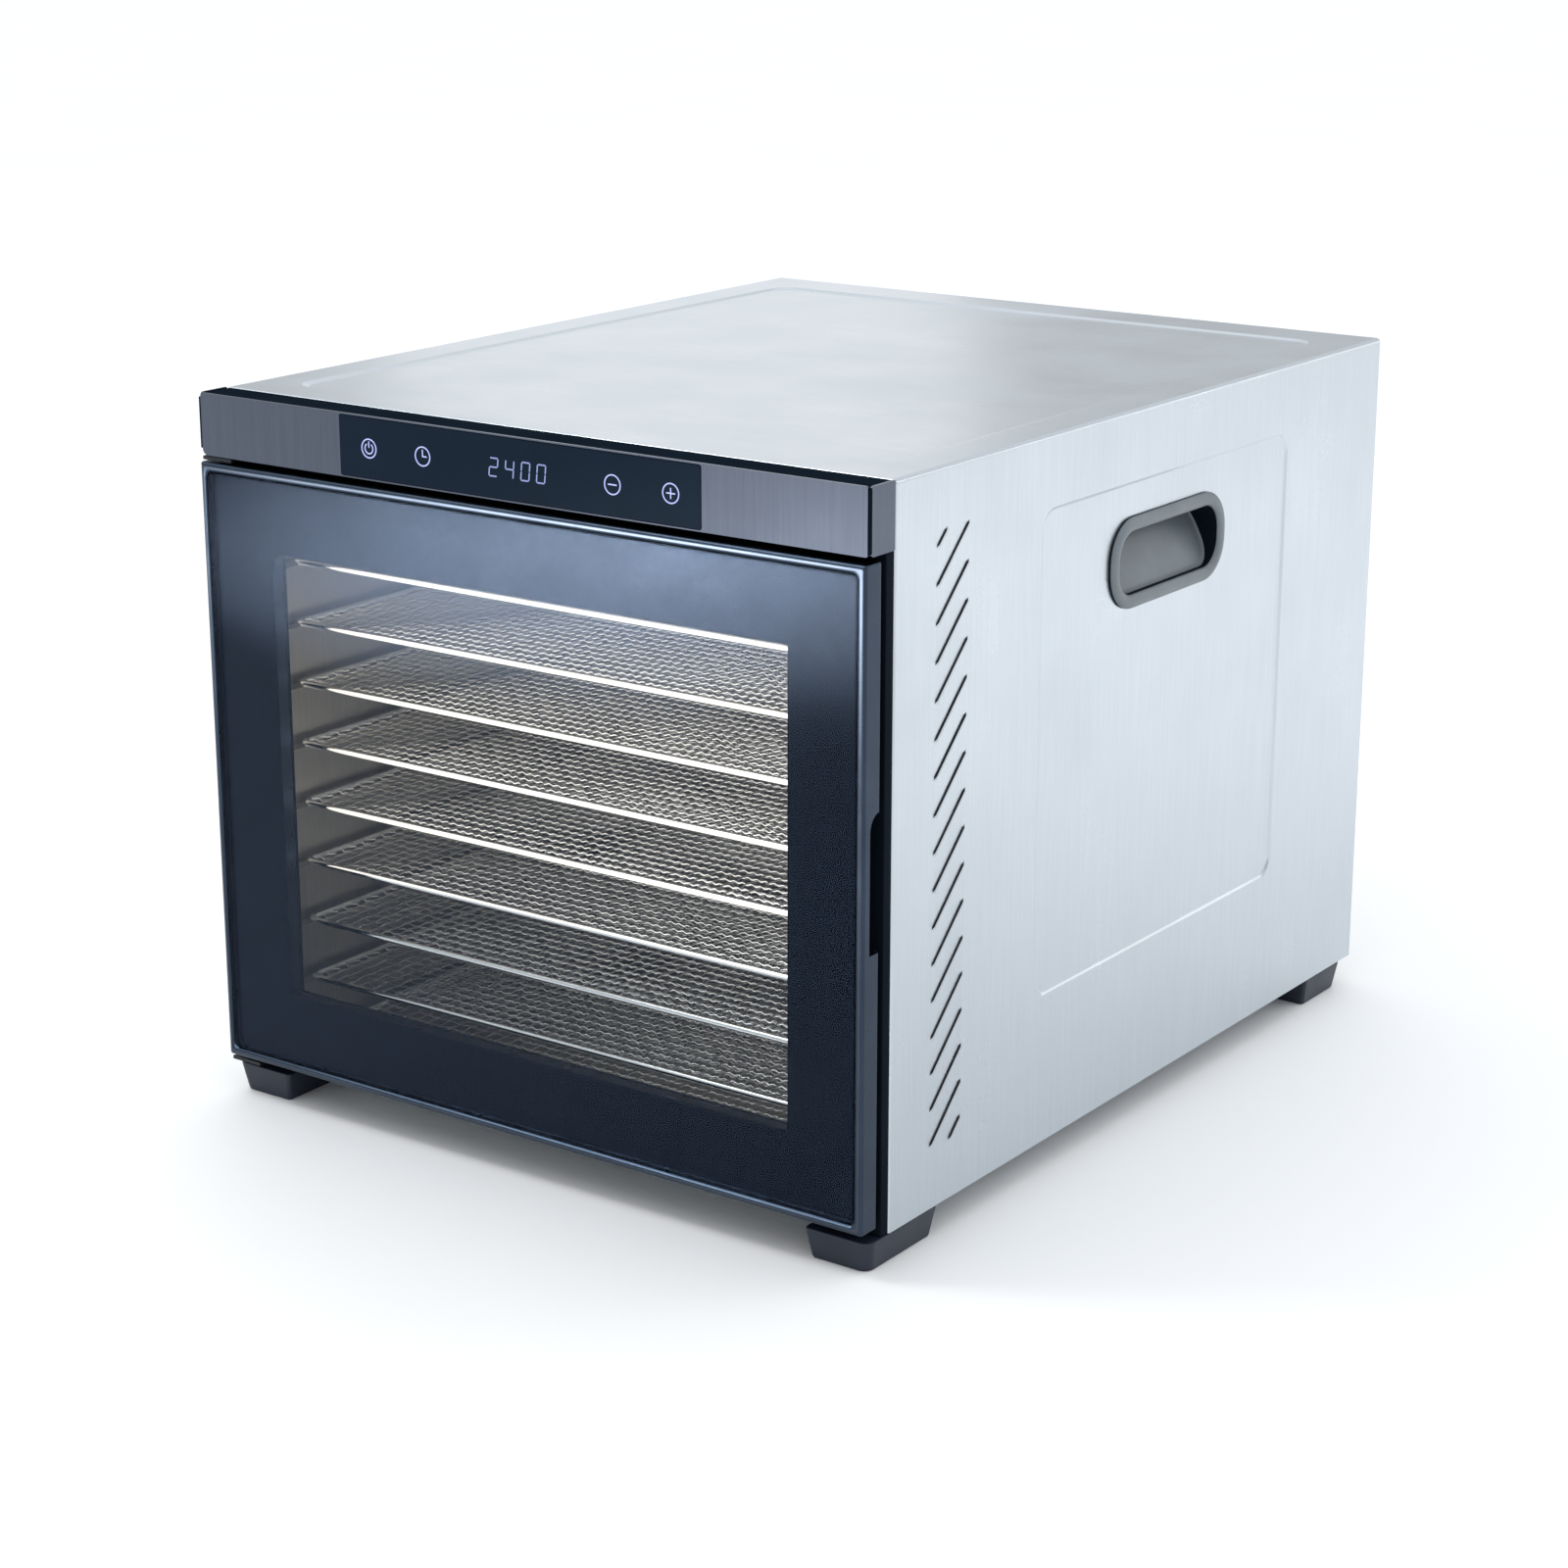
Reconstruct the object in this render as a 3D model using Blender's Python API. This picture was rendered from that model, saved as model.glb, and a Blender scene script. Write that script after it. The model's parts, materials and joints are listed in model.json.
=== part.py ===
"""Counter-top food dehydrator: a steel cabinet with ten mesh trays behind a glass door.

Run with: blender --background --python part.py
Units are metres. +X is the machine's right as its user faces the door, +Y runs from the
door to the back, +Z is up. The origin is on the surface under the middle of the machine.
The door turns about its left edge, and the fan turns about a line along Y.
"""

import math

import bmesh
import bpy
from mathutils import Vector

# Cabinet
HALF_WIDTH = 0.225
SHELL_BOTTOM = 0.018
SHELL_TOP = 0.415
SHELL_FRONT = -0.254
SHELL_BACK = 0.276
SHEET = 0.0006
OVERCUT = 0.001
GAP = 0.0003
BEND = 0.0025
RECESS_DEPTH = 0.0012
HALF_INSIDE = HALF_WIDTH - SHEET
TOP_RECESS_MARGIN = 0.027
TOP_RECESS_BACK = SHELL_FRONT + 0.497
TOP_RECESS_RADIUS = 0.014
SIDE_RECESS_LOW = (SHELL_FRONT + 0.1395, SHELL_BOTTOM + 0.087)
SIDE_RECESS_HIGH = (SHELL_FRONT + 0.4125, SHELL_BOTTOM + 0.357)
SIDE_RECESS_RADIUS = 0.012

# Ventilation slots in each side: a 45 degree pattern that fills a tall rectangle
SLOT_FRONT = SHELL_FRONT + 0.0367
SLOT_SPAN = 0.0305
SLOT_RISE = 0.0298
SLOT_PITCH = 0.02006
SLOT_LOW = SHELL_BOTTOM + 0.0333
SLOT_HIGH = SHELL_BOTTOM + 0.366
SLOT_WIDTH = 0.0026
SLOT_COUNT = 18

# Carrying handles, one cup in each side
CUP_FRONT = SHELL_FRONT + 0.2185
CUP_BACK = SHELL_FRONT + 0.3294
CUP_LOW = SHELL_BOTTOM + 0.2947
CUP_HIGH = SHELL_BOTTOM + 0.3302
CUP_RADIUS = 0.015
CUP_WALL = 0.002
CUP_DEPTH_LOW = 0.004
CUP_DEPTH_HIGH = 0.022
FLANGE_WIDTH = 0.0078
HANDLE_FACE = HALF_WIDTH + 0.001

# Drying chamber and its trays
CHAMBER_HALF = 0.199
CHAMBER_LOW = 0.027
CHAMBER_HIGH = 0.374
CHAMBER_BACK = 0.160
AIR_WALL_FRONT = 0.146
TRAY_COUNT = 10
TRAY_LOWEST = 0.032
TRAY_PITCH = 0.0356
TRAY_HALF_WIDTH = 0.1925
TRAY_FRONT = -0.239
TRAY_BACK = 0.134
TRAY_ROD = 0.0023
TRAY_MESH = 0.0003
RAIL_REACH = 0.008
RAIL_THICKNESS = 0.0012

# Door, closed
DOOR_FACE = SHELL_FRONT - 0.025
DOOR_BACK = DOOR_FACE + 0.016
DOOR_LINER = 0.002
DOOR_HALF = 0.2245
DOOR_LOW = 0.0245
DOOR_HIGH = 0.3765
DOOR_LIP = 0.005
POCKET_RADIUS = 0.004
CHANNEL_HALF = 0.203
WINDOW_HALF = 0.176
WINDOW_LOW = 0.0693
WINDOW_HIGH = 0.3305
GLASS_THICKNESS = 0.004
GLASS_INSET = 0.0005
POCKET_FLOOR = DOOR_FACE + GLASS_INSET + GLASS_THICKNESS + GAP
HINGE_X = -0.216
HINGE_Y = DOOR_FACE + 0.008
PIN_RADIUS = 0.002
PIN_ENTRY = 0.012
NOTCH_LOW = 0.1755
NOTCH_HIGH = 0.2495
NOTCH_FRONT = DOOR_FACE + 0.0056
NOTCH_INNER = 0.2105
SEAL_SPAN = ((-0.2025, 0.0260), (0.2025, 0.3750))
SEAL_WIDTH = 0.004
SEAL_RADIUS = 0.001
MAGNET_INNER = 0.2055
MAGNET_OUTER = 0.2180
MAGNET_HEIGHT = 0.030
MAGNET_DEPTH = 0.0045
MAGNET_BOTTOMS = {"upper": 0.300, "lower": 0.071}

# Black fascia round the chamber mouth
FASCIA_FACE = SHELL_FRONT - 0.0065
FASCIA_BACK = SHELL_FRONT - GAP
FASCIA_HALF = 0.2242
MOUTH_LOW = (-0.197, 0.028)
MOUTH_HIGH = (0.197, 0.373)
MOUTH_RADIUS = 0.003
STRIKE_THICKNESS = 0.001

# Control strip above the door
BEZEL_FACE = SHELL_FRONT - 0.022
BEZEL_LOW = 0.380
BEZEL_SHEET = 0.0012
PANEL_LEFT = -0.1193
PANEL_RIGHT = 0.1232
PANEL_MARGIN = 0.0011
HOUSING_WALL = 0.002
HOUSING_FACE = BEZEL_FACE + BEZEL_SHEET + GAP
BOARD_THICKNESS = 0.0016
DISPLAY_LOW = (-0.0150, 0.3880)
DISPLAY_HIGH = (0.0245, 0.4060)

# Fan, on a line along Y through the middle of the chamber
FAN_Z = 0.200
FAN_RADIUS = 0.085
FAN_BLADES = 5
FAN_FRONT = 0.160
FAN_MIDDLE = 0.1725
FAN_BACK = 0.185
HUB_RADIUS = 0.014
BLADE_SECTIONS = ((0.0115, 0.018, 48), (0.045, 0.036, 36), (FAN_RADIUS, 0.044, 26))
BLADE_THICKNESS = 0.0016
SHAFT_RADIUS = 0.004
SHAFT_BACK = 0.2145
BRACKET_FRONT = 0.205
BRACKET_SHEET = 0.0015
BRACKET_FLANGE = 0.015
MOTOR_RADIUS = 0.033
PROBE_PLACE = (-0.160, 0.345)

# Back of the machine
REAR_PANEL_FRONT = SHELL_BACK - 0.0015
INLET_X = 0.150
INLET_Z = 0.062

STEEL = ("brushed_steel", (0.62, 0.66, 0.70), 1.0, 0.32)
LINER = ("liner_steel", (0.50, 0.49, 0.47), 1.0, 0.38)
CHROME = ("chrome_wire", (0.80, 0.81, 0.82), 1.0, 0.12)
GUNMETAL = ("gunmetal", (0.20, 0.21, 0.24), 1.0, 0.35)
BLACK = ("black_plastic", (0.018, 0.022, 0.030), 0.0, 0.35)
DARK = ("door_black", (0.012, 0.018, 0.030), 0.0, 0.22)
GREY = ("grey_plastic", (0.15, 0.17, 0.19), 0.0, 0.45)
FOOT = ("foot_plastic", (0.025, 0.032, 0.042), 0.0, 0.50)
GLASS = ("door_glass", (0.75, 0.80, 0.82), 0.0, 0.05)
PANEL = ("control_glass", (0.008, 0.014, 0.028), 0.0, 0.08)
SEAL = ("seal_rubber", (0.03, 0.03, 0.03), 0.0, 0.75)
BOARD = ("circuit_board", (0.03, 0.16, 0.07), 0.0, 0.45)
DISPLAY = ("display", (0.02, 0.02, 0.03), 0.0, 0.30)
MOTOR = ("motor_steel", (0.42, 0.43, 0.45), 1.0, 0.40)
FAN = ("fan_aluminium", (0.70, 0.71, 0.72), 1.0, 0.38)
HEATER = ("heater_sheath", (0.30, 0.27, 0.25), 1.0, 0.50)
CERAMIC = ("ceramic", (0.80, 0.78, 0.72), 0.0, 0.55)
CABLE = ("cable_grey", (0.30, 0.31, 0.33), 0.0, 0.60)
MAGNET = ("magnet", (0.10, 0.10, 0.11), 0.6, 0.45)


# ---------------------------------------------------------------- shared modelling helpers

def material(spec):
    """The material that a (name, colour, metallic, roughness) entry describes."""
    name, colour, metallic, roughness = spec
    found = bpy.data.materials.get(name)
    if found:
        return found
    made = bpy.data.materials.new(name)
    made.use_nodes = True
    shader = made.node_tree.nodes["Principled BSDF"]
    shader.inputs["Base Color"].default_value = (*colour, 1.0)
    shader.inputs["Metallic"].default_value = metallic
    shader.inputs["Roughness"].default_value = roughness
    if name == "door_glass":
        shader.inputs["Transmission Weight"].default_value = 1.0
    return made


def add_part(name, shape, spec, parent=None, smooth=False):
    """Name a shape, give it a material and set its origin on its parent's axis."""
    pivot = parent.location.copy() if parent else Vector((0.0, 0.0, 0.0))
    bmesh.ops.translate(shape, vec=-pivot, verts=shape.verts)
    mesh = bpy.data.meshes.new(name)
    shape.to_mesh(mesh)
    shape.free()
    mesh.materials.append(material(spec))
    if smooth:
        mesh.shade_smooth()
        mesh.set_sharp_from_angle(angle=math.radians(40))
    part = bpy.data.objects.new(name, mesh)
    part.parent = parent
    bpy.context.scene.collection.objects.link(part)
    return part


def boolean(part, shape, operation):
    """Cut a shape from a part or fuse it on; the shape stays as a hidden guide."""
    guide = add_part(part.name + "_guide", shape, BLACK, parent=part.parent)
    guide.hide_render = True
    guide.display_type = "WIRE"
    step = part.modifiers.new(operation.lower(), "BOOLEAN")
    step.operation = operation
    step.solver = "EXACT"
    step.object = guide


def at(axis, along, across, up):
    """A point given by its distance along an axis and its two other coordinates."""
    if axis == "X":
        return (along, across, up)
    if axis == "Y":
        return (across, along, up)
    return (across, up, along)


def arc(centre, radius, start, end, steps):
    """Points on an arc, with its start and end in degrees."""
    points = []
    for index in range(steps + 1):
        angle = math.radians(start + (end - start) * index / steps)
        points.append((centre[0] + radius * math.cos(angle), centre[1] + radius * math.sin(angle)))
    return points


def rounded(low, high, radius, steps=3):
    """A rectangle's outline with rounded corners; radius is one value or one per corner."""
    radii = radius if isinstance(radius, tuple) else (radius,) * 4
    corners = ((low[0], low[1]), (high[0], low[1]), (high[0], high[1]), (low[0], high[1]))
    inward = ((1, 1), (-1, 1), (-1, -1), (1, -1))
    outline = []
    for index in range(4):
        centre = tuple(corners[index][k] + inward[index][k] * radii[index] for k in (0, 1))
        start = 180 + 90 * index
        outline += arc(centre, radii[index], start, start + 90, steps)
    return outline


def box_outline(low, high):
    """A plain rectangle's outline."""
    return [(low[0], low[1]), (high[0], low[1]), (high[0], high[1]), (low[0], high[1])]


def level(axis, along, outline):
    """An outline raised to a loop of points at one distance along an axis."""
    return [at(axis, along, across, up) for across, up in outline]


def loft(loops, ring=False):
    """A closed solid through loops of equal length, capped, or joined end to start."""
    shape = bmesh.new()
    rows = [[shape.verts.new(point) for point in loop] for loop in loops]
    pairs = list(zip(rows, rows[1:]))
    if ring:
        pairs.append((rows[-1], rows[0]))
    else:
        shape.faces.new(rows[0])
        shape.faces.new(rows[-1])
    for first, second in pairs:
        for index in range(len(first)):
            after = (index + 1) % len(first)
            shape.faces.new((first[index], first[after], second[after], second[index]))
    bmesh.ops.recalc_face_normals(shape, faces=shape.faces)
    return shape


def plate(axis, low, high, outline, holes=()):
    """An outline, with holes if any, filled and extruded along an axis."""
    if not holes:
        return loft([level(axis, low, outline), level(axis, high, outline)])
    shape = bmesh.new()
    for loop in (outline, *holes):
        corners = [shape.verts.new(point) for point in level(axis, low, loop)]
        for first, second in zip(corners, corners[1:] + corners[:1]):
            shape.edges.new((first, second))
    normal = Vector(at(axis, 1.0, 0.0, 0.0))
    bmesh.ops.triangle_fill(shape, edges=shape.edges, use_beauty=True, normal=normal)
    grown = bmesh.ops.extrude_face_region(shape, geom=shape.faces)
    moved = [item for item in grown["geom"] if isinstance(item, bmesh.types.BMVert)]
    bmesh.ops.translate(shape, vec=normal * (high - low), verts=moved)
    bmesh.ops.recalc_face_normals(shape, faces=shape.faces)
    return shape


def block(low, high):
    """A box between two corners."""
    return plate("Z", low[2], high[2], box_outline(low[:2], high[:2]))


def turned(axis, centre, profile, steps=20, bored=False):
    """A profile of (radius, along) pairs turned about an axis through centre."""
    loops = []
    for radius, along in profile:
        circle = arc(centre, radius, 0, 360 - 360 / steps, steps - 1)
        loops.append(level(axis, along, circle))
    return loft(loops, ring=bored)


def merged(shapes):
    """Several separate closed shapes as one mesh."""
    total = bmesh.new()
    for shape in shapes:
        mesh = bpy.data.meshes.new("merge")
        shape.to_mesh(mesh)
        shape.free()
        total.from_mesh(mesh)
        bpy.data.meshes.remove(mesh)
    return total


def tube(name, path, radius, spec, sides_step=1):
    """A round cable or rod along a list of points."""
    curve = bpy.data.curves.new(name, "CURVE")
    curve.dimensions = "3D"
    curve.bevel_depth = radius
    curve.bevel_resolution = sides_step
    curve.use_fill_caps = True
    spline = curve.splines.new("POLY")
    spline.points.add(len(path) - 1)
    for point, place in zip(spline.points, path):
        point.co = (*place, 1.0)
    curve.materials.append(material(spec))
    part = bpy.data.objects.new(name, curve)
    bpy.context.scene.collection.objects.link(part)
    return part


def empty(name, place):
    """An axis marker that moving pieces are parented to."""
    marker = bpy.data.objects.new(name, None)
    marker.location = place
    bpy.context.scene.collection.objects.link(marker)
    return marker


# ---------------------------------------------------------------- cabinet

def slot_outline(start, end, width):
    """A straight slot with pointed ends between two points."""
    along = Vector((end[0] - start[0], end[1] - start[1])).normalized() * (width / 2)
    side = Vector((-along.y, along.x))
    first = Vector(start)
    last = Vector(end)
    corners = (first - along, first - side, last - side, last + along, last + side, first + side)
    return [tuple(corner) for corner in corners]


def side_slots():
    """The outlines of one side's slots, in depth and height."""
    slope = SLOT_RISE / SLOT_SPAN
    outlines = []
    for index in range(SLOT_COUNT):
        top = SLOT_HIGH + SLOT_PITCH * (1 - index)
        foot = top - SLOT_RISE
        low = max(foot, SLOT_LOW)
        high = min(top, SLOT_HIGH)
        start = (SLOT_FRONT + (low - foot) / slope, low)
        end = (SLOT_FRONT + (high - foot) / slope, high)
        outlines.append(slot_outline(start, end, SLOT_WIDTH))
    return outlines


def side_recess(grow):
    """The outline of the shallow pressed recess in each side."""
    low = tuple(value - grow for value in SIDE_RECESS_LOW)
    high = tuple(value + grow for value in SIDE_RECESS_HIGH)
    return rounded(low, high, SIDE_RECESS_RADIUS + grow)


def top_recess(grow):
    """The outline of the shallow pressed recess in the top."""
    half = HALF_WIDTH - TOP_RECESS_MARGIN + grow
    low = (-half, SHELL_FRONT + TOP_RECESS_MARGIN - grow)
    return rounded(low, (half, TOP_RECESS_BACK + grow), TOP_RECESS_RADIUS + grow)


def cup_outline(grow):
    """The rounded outline of a handle's cup, larger by grow on every side."""
    low = (CUP_FRONT - grow, CUP_LOW - grow)
    high = (CUP_BACK + grow, CUP_HIGH + grow)
    return rounded(low, high, CUP_RADIUS + grow, steps=4)


def make_shell():
    """One folded sheet: the top and both sides, with recesses, slots and handle holes."""
    inner = BEND - SHEET
    top = SHELL_TOP - BEND
    reach = HALF_WIDTH - BEND
    outline = [(-HALF_WIDTH, SHELL_BOTTOM)]
    outline += arc((-reach, top), BEND, 180, 90, 3)
    outline += arc((reach, top), BEND, 90, 0, 3)
    outline += [(HALF_WIDTH, SHELL_BOTTOM), (HALF_INSIDE, SHELL_BOTTOM)]
    outline += arc((reach, top), inner, 0, 90, 3)
    outline += arc((-reach, top), inner, 90, 180, 3)
    outline.append((-HALF_INSIDE, SHELL_BOTTOM))
    shell = add_part("outer_shell", plate("Y", SHELL_FRONT, SHELL_BACK, outline), STEEL)

    middle = SHEET / 2
    backing = [plate("Z", SHELL_TOP - SHEET - RECESS_DEPTH, SHELL_TOP - middle, top_recess(SHEET))]
    pockets = [plate("Z", SHELL_TOP - RECESS_DEPTH, SHELL_TOP + OVERCUT, top_recess(0.0))]
    holes = []
    for side in (-1, 1):
        inside = side * (HALF_INSIDE - RECESS_DEPTH)
        backing.append(plate("X", inside, side * (HALF_WIDTH - middle), side_recess(SHEET)))
        face = side * (HALF_WIDTH - RECESS_DEPTH)
        pockets.append(plate("X", face, side * (HALF_WIDTH + OVERCUT), side_recess(0.0)))
        through = (side * (HALF_INSIDE - RECESS_DEPTH - OVERCUT), side * (HALF_WIDTH + OVERCUT))
        for outline in side_slots() + [cup_outline(CUP_WALL + GAP)]:
            holes.append(plate("X", *through, outline))
    boolean(shell, merged(backing), "UNION")
    boolean(shell, merged(pockets), "DIFFERENCE")
    boolean(shell, merged(holes), "DIFFERENCE")


def make_base_pan():
    """The floor sheet, with a flange up each side."""
    half = HALF_INSIDE - RECESS_DEPTH - GAP
    flange = SHELL_BOTTOM + 0.014
    floor = SHELL_BOTTOM + SHEET
    outline = [(-half, SHELL_BOTTOM), (half, SHELL_BOTTOM), (half, flange), (half - SHEET, flange)]
    outline += [(half - SHEET, floor), (SHEET - half, floor), (SHEET - half, flange), (-half, flange)]
    shape = plate("Y", SHELL_FRONT + GAP, REAR_PANEL_FRONT - GAP, outline)
    add_part("base_pan", shape, STEEL)


def inlet_outline(half_width, half_height, cut):
    """A rectangle round the mains inlet with its two upper corners cut off."""
    left = INLET_X - half_width
    right = INLET_X + half_width
    low = INLET_Z - half_height
    high = INLET_Z + half_height
    return [(left, low), (right, low), (right, high - cut), (right - cut, high),
            (left + cut, high), (left, high - cut)]


def screw_places():
    """The four screws that hold the rear panel."""
    return {"left_low": (-0.205, 0.040), "right_low": (0.205, 0.040),
            "left_high": (-0.205, 0.392), "right_high": (0.205, 0.392)}


def make_rear_panel():
    """The back sheet, with rows of vent slots and the hole for the mains inlet."""
    half = HALF_INSIDE - GAP
    low = (-half, SHELL_BOTTOM + SHEET + GAP)
    outline = rounded(low, (half, SHELL_TOP - SHEET - GAP), BEND, steps=2)
    holes = [inlet_outline(0.0141, 0.0106, 0.003)]
    for column in (-1, 0, 1):
        for row in range(9):
            height = FAN_Z + (row - 4) * 0.018
            middle = column * 0.058
            holes.append(box_outline((middle - 0.024, height - 0.003), (middle + 0.024, height + 0.003)))
    for place in screw_places().values():
        holes.append(arc(place, 0.0020, 0, 300, 5))
    add_part("rear_panel", plate("Y", REAR_PANEL_FRONT, REAR_PANEL_FRONT + SHEET, outline, holes), STEEL)


def make_rear_screws():
    """Pan-head screws through the rear panel."""
    seat = REAR_PANEL_FRONT + SHEET + GAP
    for name, place in screw_places().items():
        profile = [(0.0016, seat - 0.007), (0.0016, seat), (0.0038, seat), (0.0035, seat + 0.0013),
                   (0.0020, seat + 0.0020)]
        add_part("rear_screw_" + name, turned("Y", place, profile, steps=12), MOTOR, smooth=True)


def make_feet():
    """Four drafted plastic feet; the front pair reaches forward under the door."""
    width = 0.042
    spans = {"front": (SHELL_FRONT - 0.018, SHELL_FRONT + 0.0475),
             "rear": (SHELL_FRONT + 0.470, SHELL_FRONT + 0.518)}
    for end, (front, back) in spans.items():
        for side, hand in ((-1, "left"), (1, "right")):
            corner = 0.006 if end == "front" else 0.0015
            inner = 0.0015 if end == "front" else 0.008
            radii = (corner, inner, 0.0015, 0.0015) if side < 0 else (inner, corner, 0.0015, 0.0015)
            edges = sorted((side * HALF_WIDTH, side * (HALF_WIDTH - width)))
            loops = []
            for height, inset in ((0.0, 0.0030), (0.0012, 0.0020), (SHELL_BOTTOM - GAP, 0.0)):
                outline = rounded((edges[0] + inset, front + inset), (edges[1] - inset, back - inset), radii)
                loops.append(level("Z", height, outline))
            add_part("foot_%s_%s" % (end, hand), loft(loops), FOOT)


def make_handle(side, hand):
    """A moulded cup with a flange; its floor slopes from deep at the top to shallow below."""
    def depth(height):
        share = (height - CUP_LOW) / (CUP_HIGH - CUP_LOW)
        return CUP_DEPTH_LOW + (CUP_DEPTH_HIGH - CUP_DEPTH_LOW) * share

    def sloped(outline, wall):
        return [(side * (HANDLE_FACE - depth(up) - wall), across, up) for across, up in outline]

    seat = side * (HALF_WIDTH - RECESS_DEPTH + GAP)
    rim = side * (HANDLE_FACE - 0.0007)
    face = side * HANDLE_FACE
    loops = [sloped(cup_outline(CUP_WALL), CUP_WALL),
             level("X", seat, cup_outline(CUP_WALL)),
             level("X", seat, cup_outline(FLANGE_WIDTH)),
             level("X", rim, cup_outline(FLANGE_WIDTH)),
             level("X", face, cup_outline(FLANGE_WIDTH - 0.0012)),
             level("X", face, cup_outline(0.0012)),
             level("X", rim, cup_outline(0.0)),
             sloped(cup_outline(0.0), 0.0)]
    add_part("handle_" + hand, loft(loops), GREY, smooth=True)


# ---------------------------------------------------------------- drying chamber

def tray_height(index):
    """The height of a tray's rods above the surface under the machine."""
    return TRAY_LOWEST + TRAY_PITCH * index


def make_side_liner(side, hand):
    """A chamber wall with a ledge under each tray."""
    wall = CHAMBER_HALF + SHEET
    low = CHAMBER_LOW - SHEET
    outline = [(side * wall, low), (side * CHAMBER_HALF, low)]
    for index in range(TRAY_COUNT):
        top = tray_height(index) - TRAY_ROD - GAP
        bottom = top - RAIL_THICKNESS
        tip = CHAMBER_HALF - RAIL_REACH
        outline += [(side * CHAMBER_HALF, bottom), (side * tip, bottom)]
        outline += [(side * tip, top), (side * CHAMBER_HALF, top)]
    high = CHAMBER_HIGH + SHEET
    outline += [(side * CHAMBER_HALF, high), (side * wall, high)]
    add_part("liner_" + hand, plate("Y", SHELL_FRONT, CHAMBER_BACK, outline), LINER)


def make_chamber_sheets():
    """The chamber's ceiling and floor, and the slotted wall between it and the fan."""
    half = CHAMBER_HALF - GAP
    sheets = {"liner_top": CHAMBER_HIGH, "liner_floor": CHAMBER_LOW - SHEET}
    for name, low in sheets.items():
        shape = block((-half, SHELL_FRONT, low), (half, CHAMBER_BACK, low + SHEET))
        add_part(name, shape, LINER)
    reach = CHAMBER_HALF - RAIL_REACH - GAP
    holes = [arc(PROBE_PLACE, 0.0026, 0, 300, 5)]
    for column in range(4):
        for row in range(7):
            across = (column - 1.5) * 0.066
            up = FAN_Z + (row - 3) * 0.036
            holes.append(box_outline((across - 0.026, up - 0.006), (across + 0.026, up + 0.006)))
    outline = box_outline((-reach, CHAMBER_LOW + GAP), (reach, CHAMBER_HIGH - GAP))
    add_part("air_wall", plate("Y", AIR_WALL_FRONT, AIR_WALL_FRONT + SHEET, outline, holes), LINER)


def make_trays():
    """Ten trays that share one mesh: a round rod frame, and a thin sheet of its mesh's weight."""
    def frame_loop(angle):
        grow = TRAY_ROD * math.cos(angle)
        low = (-TRAY_HALF_WIDTH - grow, TRAY_FRONT - grow)
        high = (TRAY_HALF_WIDTH + grow, TRAY_BACK + grow)
        return level("Z", TRAY_ROD * math.sin(angle), rounded(low, high, 0.006 + grow, steps=2))

    sides = 6
    frame = loft([frame_loop(2 * math.pi * step / sides) for step in range(sides)], ring=True)
    sheet = block((-TRAY_HALF_WIDTH, TRAY_FRONT, -TRAY_MESH / 2), (TRAY_HALF_WIDTH, TRAY_BACK, TRAY_MESH / 2))
    first = add_part("tray_1", frame, CHROME, smooth=True)
    boolean(first, sheet, "UNION")
    bpy.context.view_layer.update()
    graph = bpy.context.evaluated_depsgraph_get()
    mesh = bpy.data.meshes.new_from_object(first.evaluated_get(graph))
    first.modifiers.clear()
    first.data = mesh
    first.location.z = tray_height(0)
    for index in range(1, TRAY_COUNT):
        tray = bpy.data.objects.new("tray_%d" % (index + 1), mesh)
        tray.location.z = tray_height(index)
        bpy.context.scene.collection.objects.link(tray)


# ---------------------------------------------------------------- front

def make_fascia():
    """The black frame round the chamber mouth, and the two plates its magnets pull."""
    outline = box_outline((-FASCIA_HALF, SHELL_BOTTOM + GAP), (FASCIA_HALF, BEZEL_LOW - GAP))
    mouth = rounded(MOUTH_LOW, MOUTH_HIGH, MOUTH_RADIUS)
    add_part("front_frame", plate("Y", FASCIA_FACE, FASCIA_BACK, outline, [mouth]), BLACK)
    for place, bottom in MAGNET_BOTTOMS.items():
        low = (MAGNET_INNER, FASCIA_FACE - GAP - STRIKE_THICKNESS, bottom)
        high = (MAGNET_OUTER, FASCIA_FACE - GAP, bottom + MAGNET_HEIGHT)
        add_part("strike_plate_" + place, block(low, high), STEEL)


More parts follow.
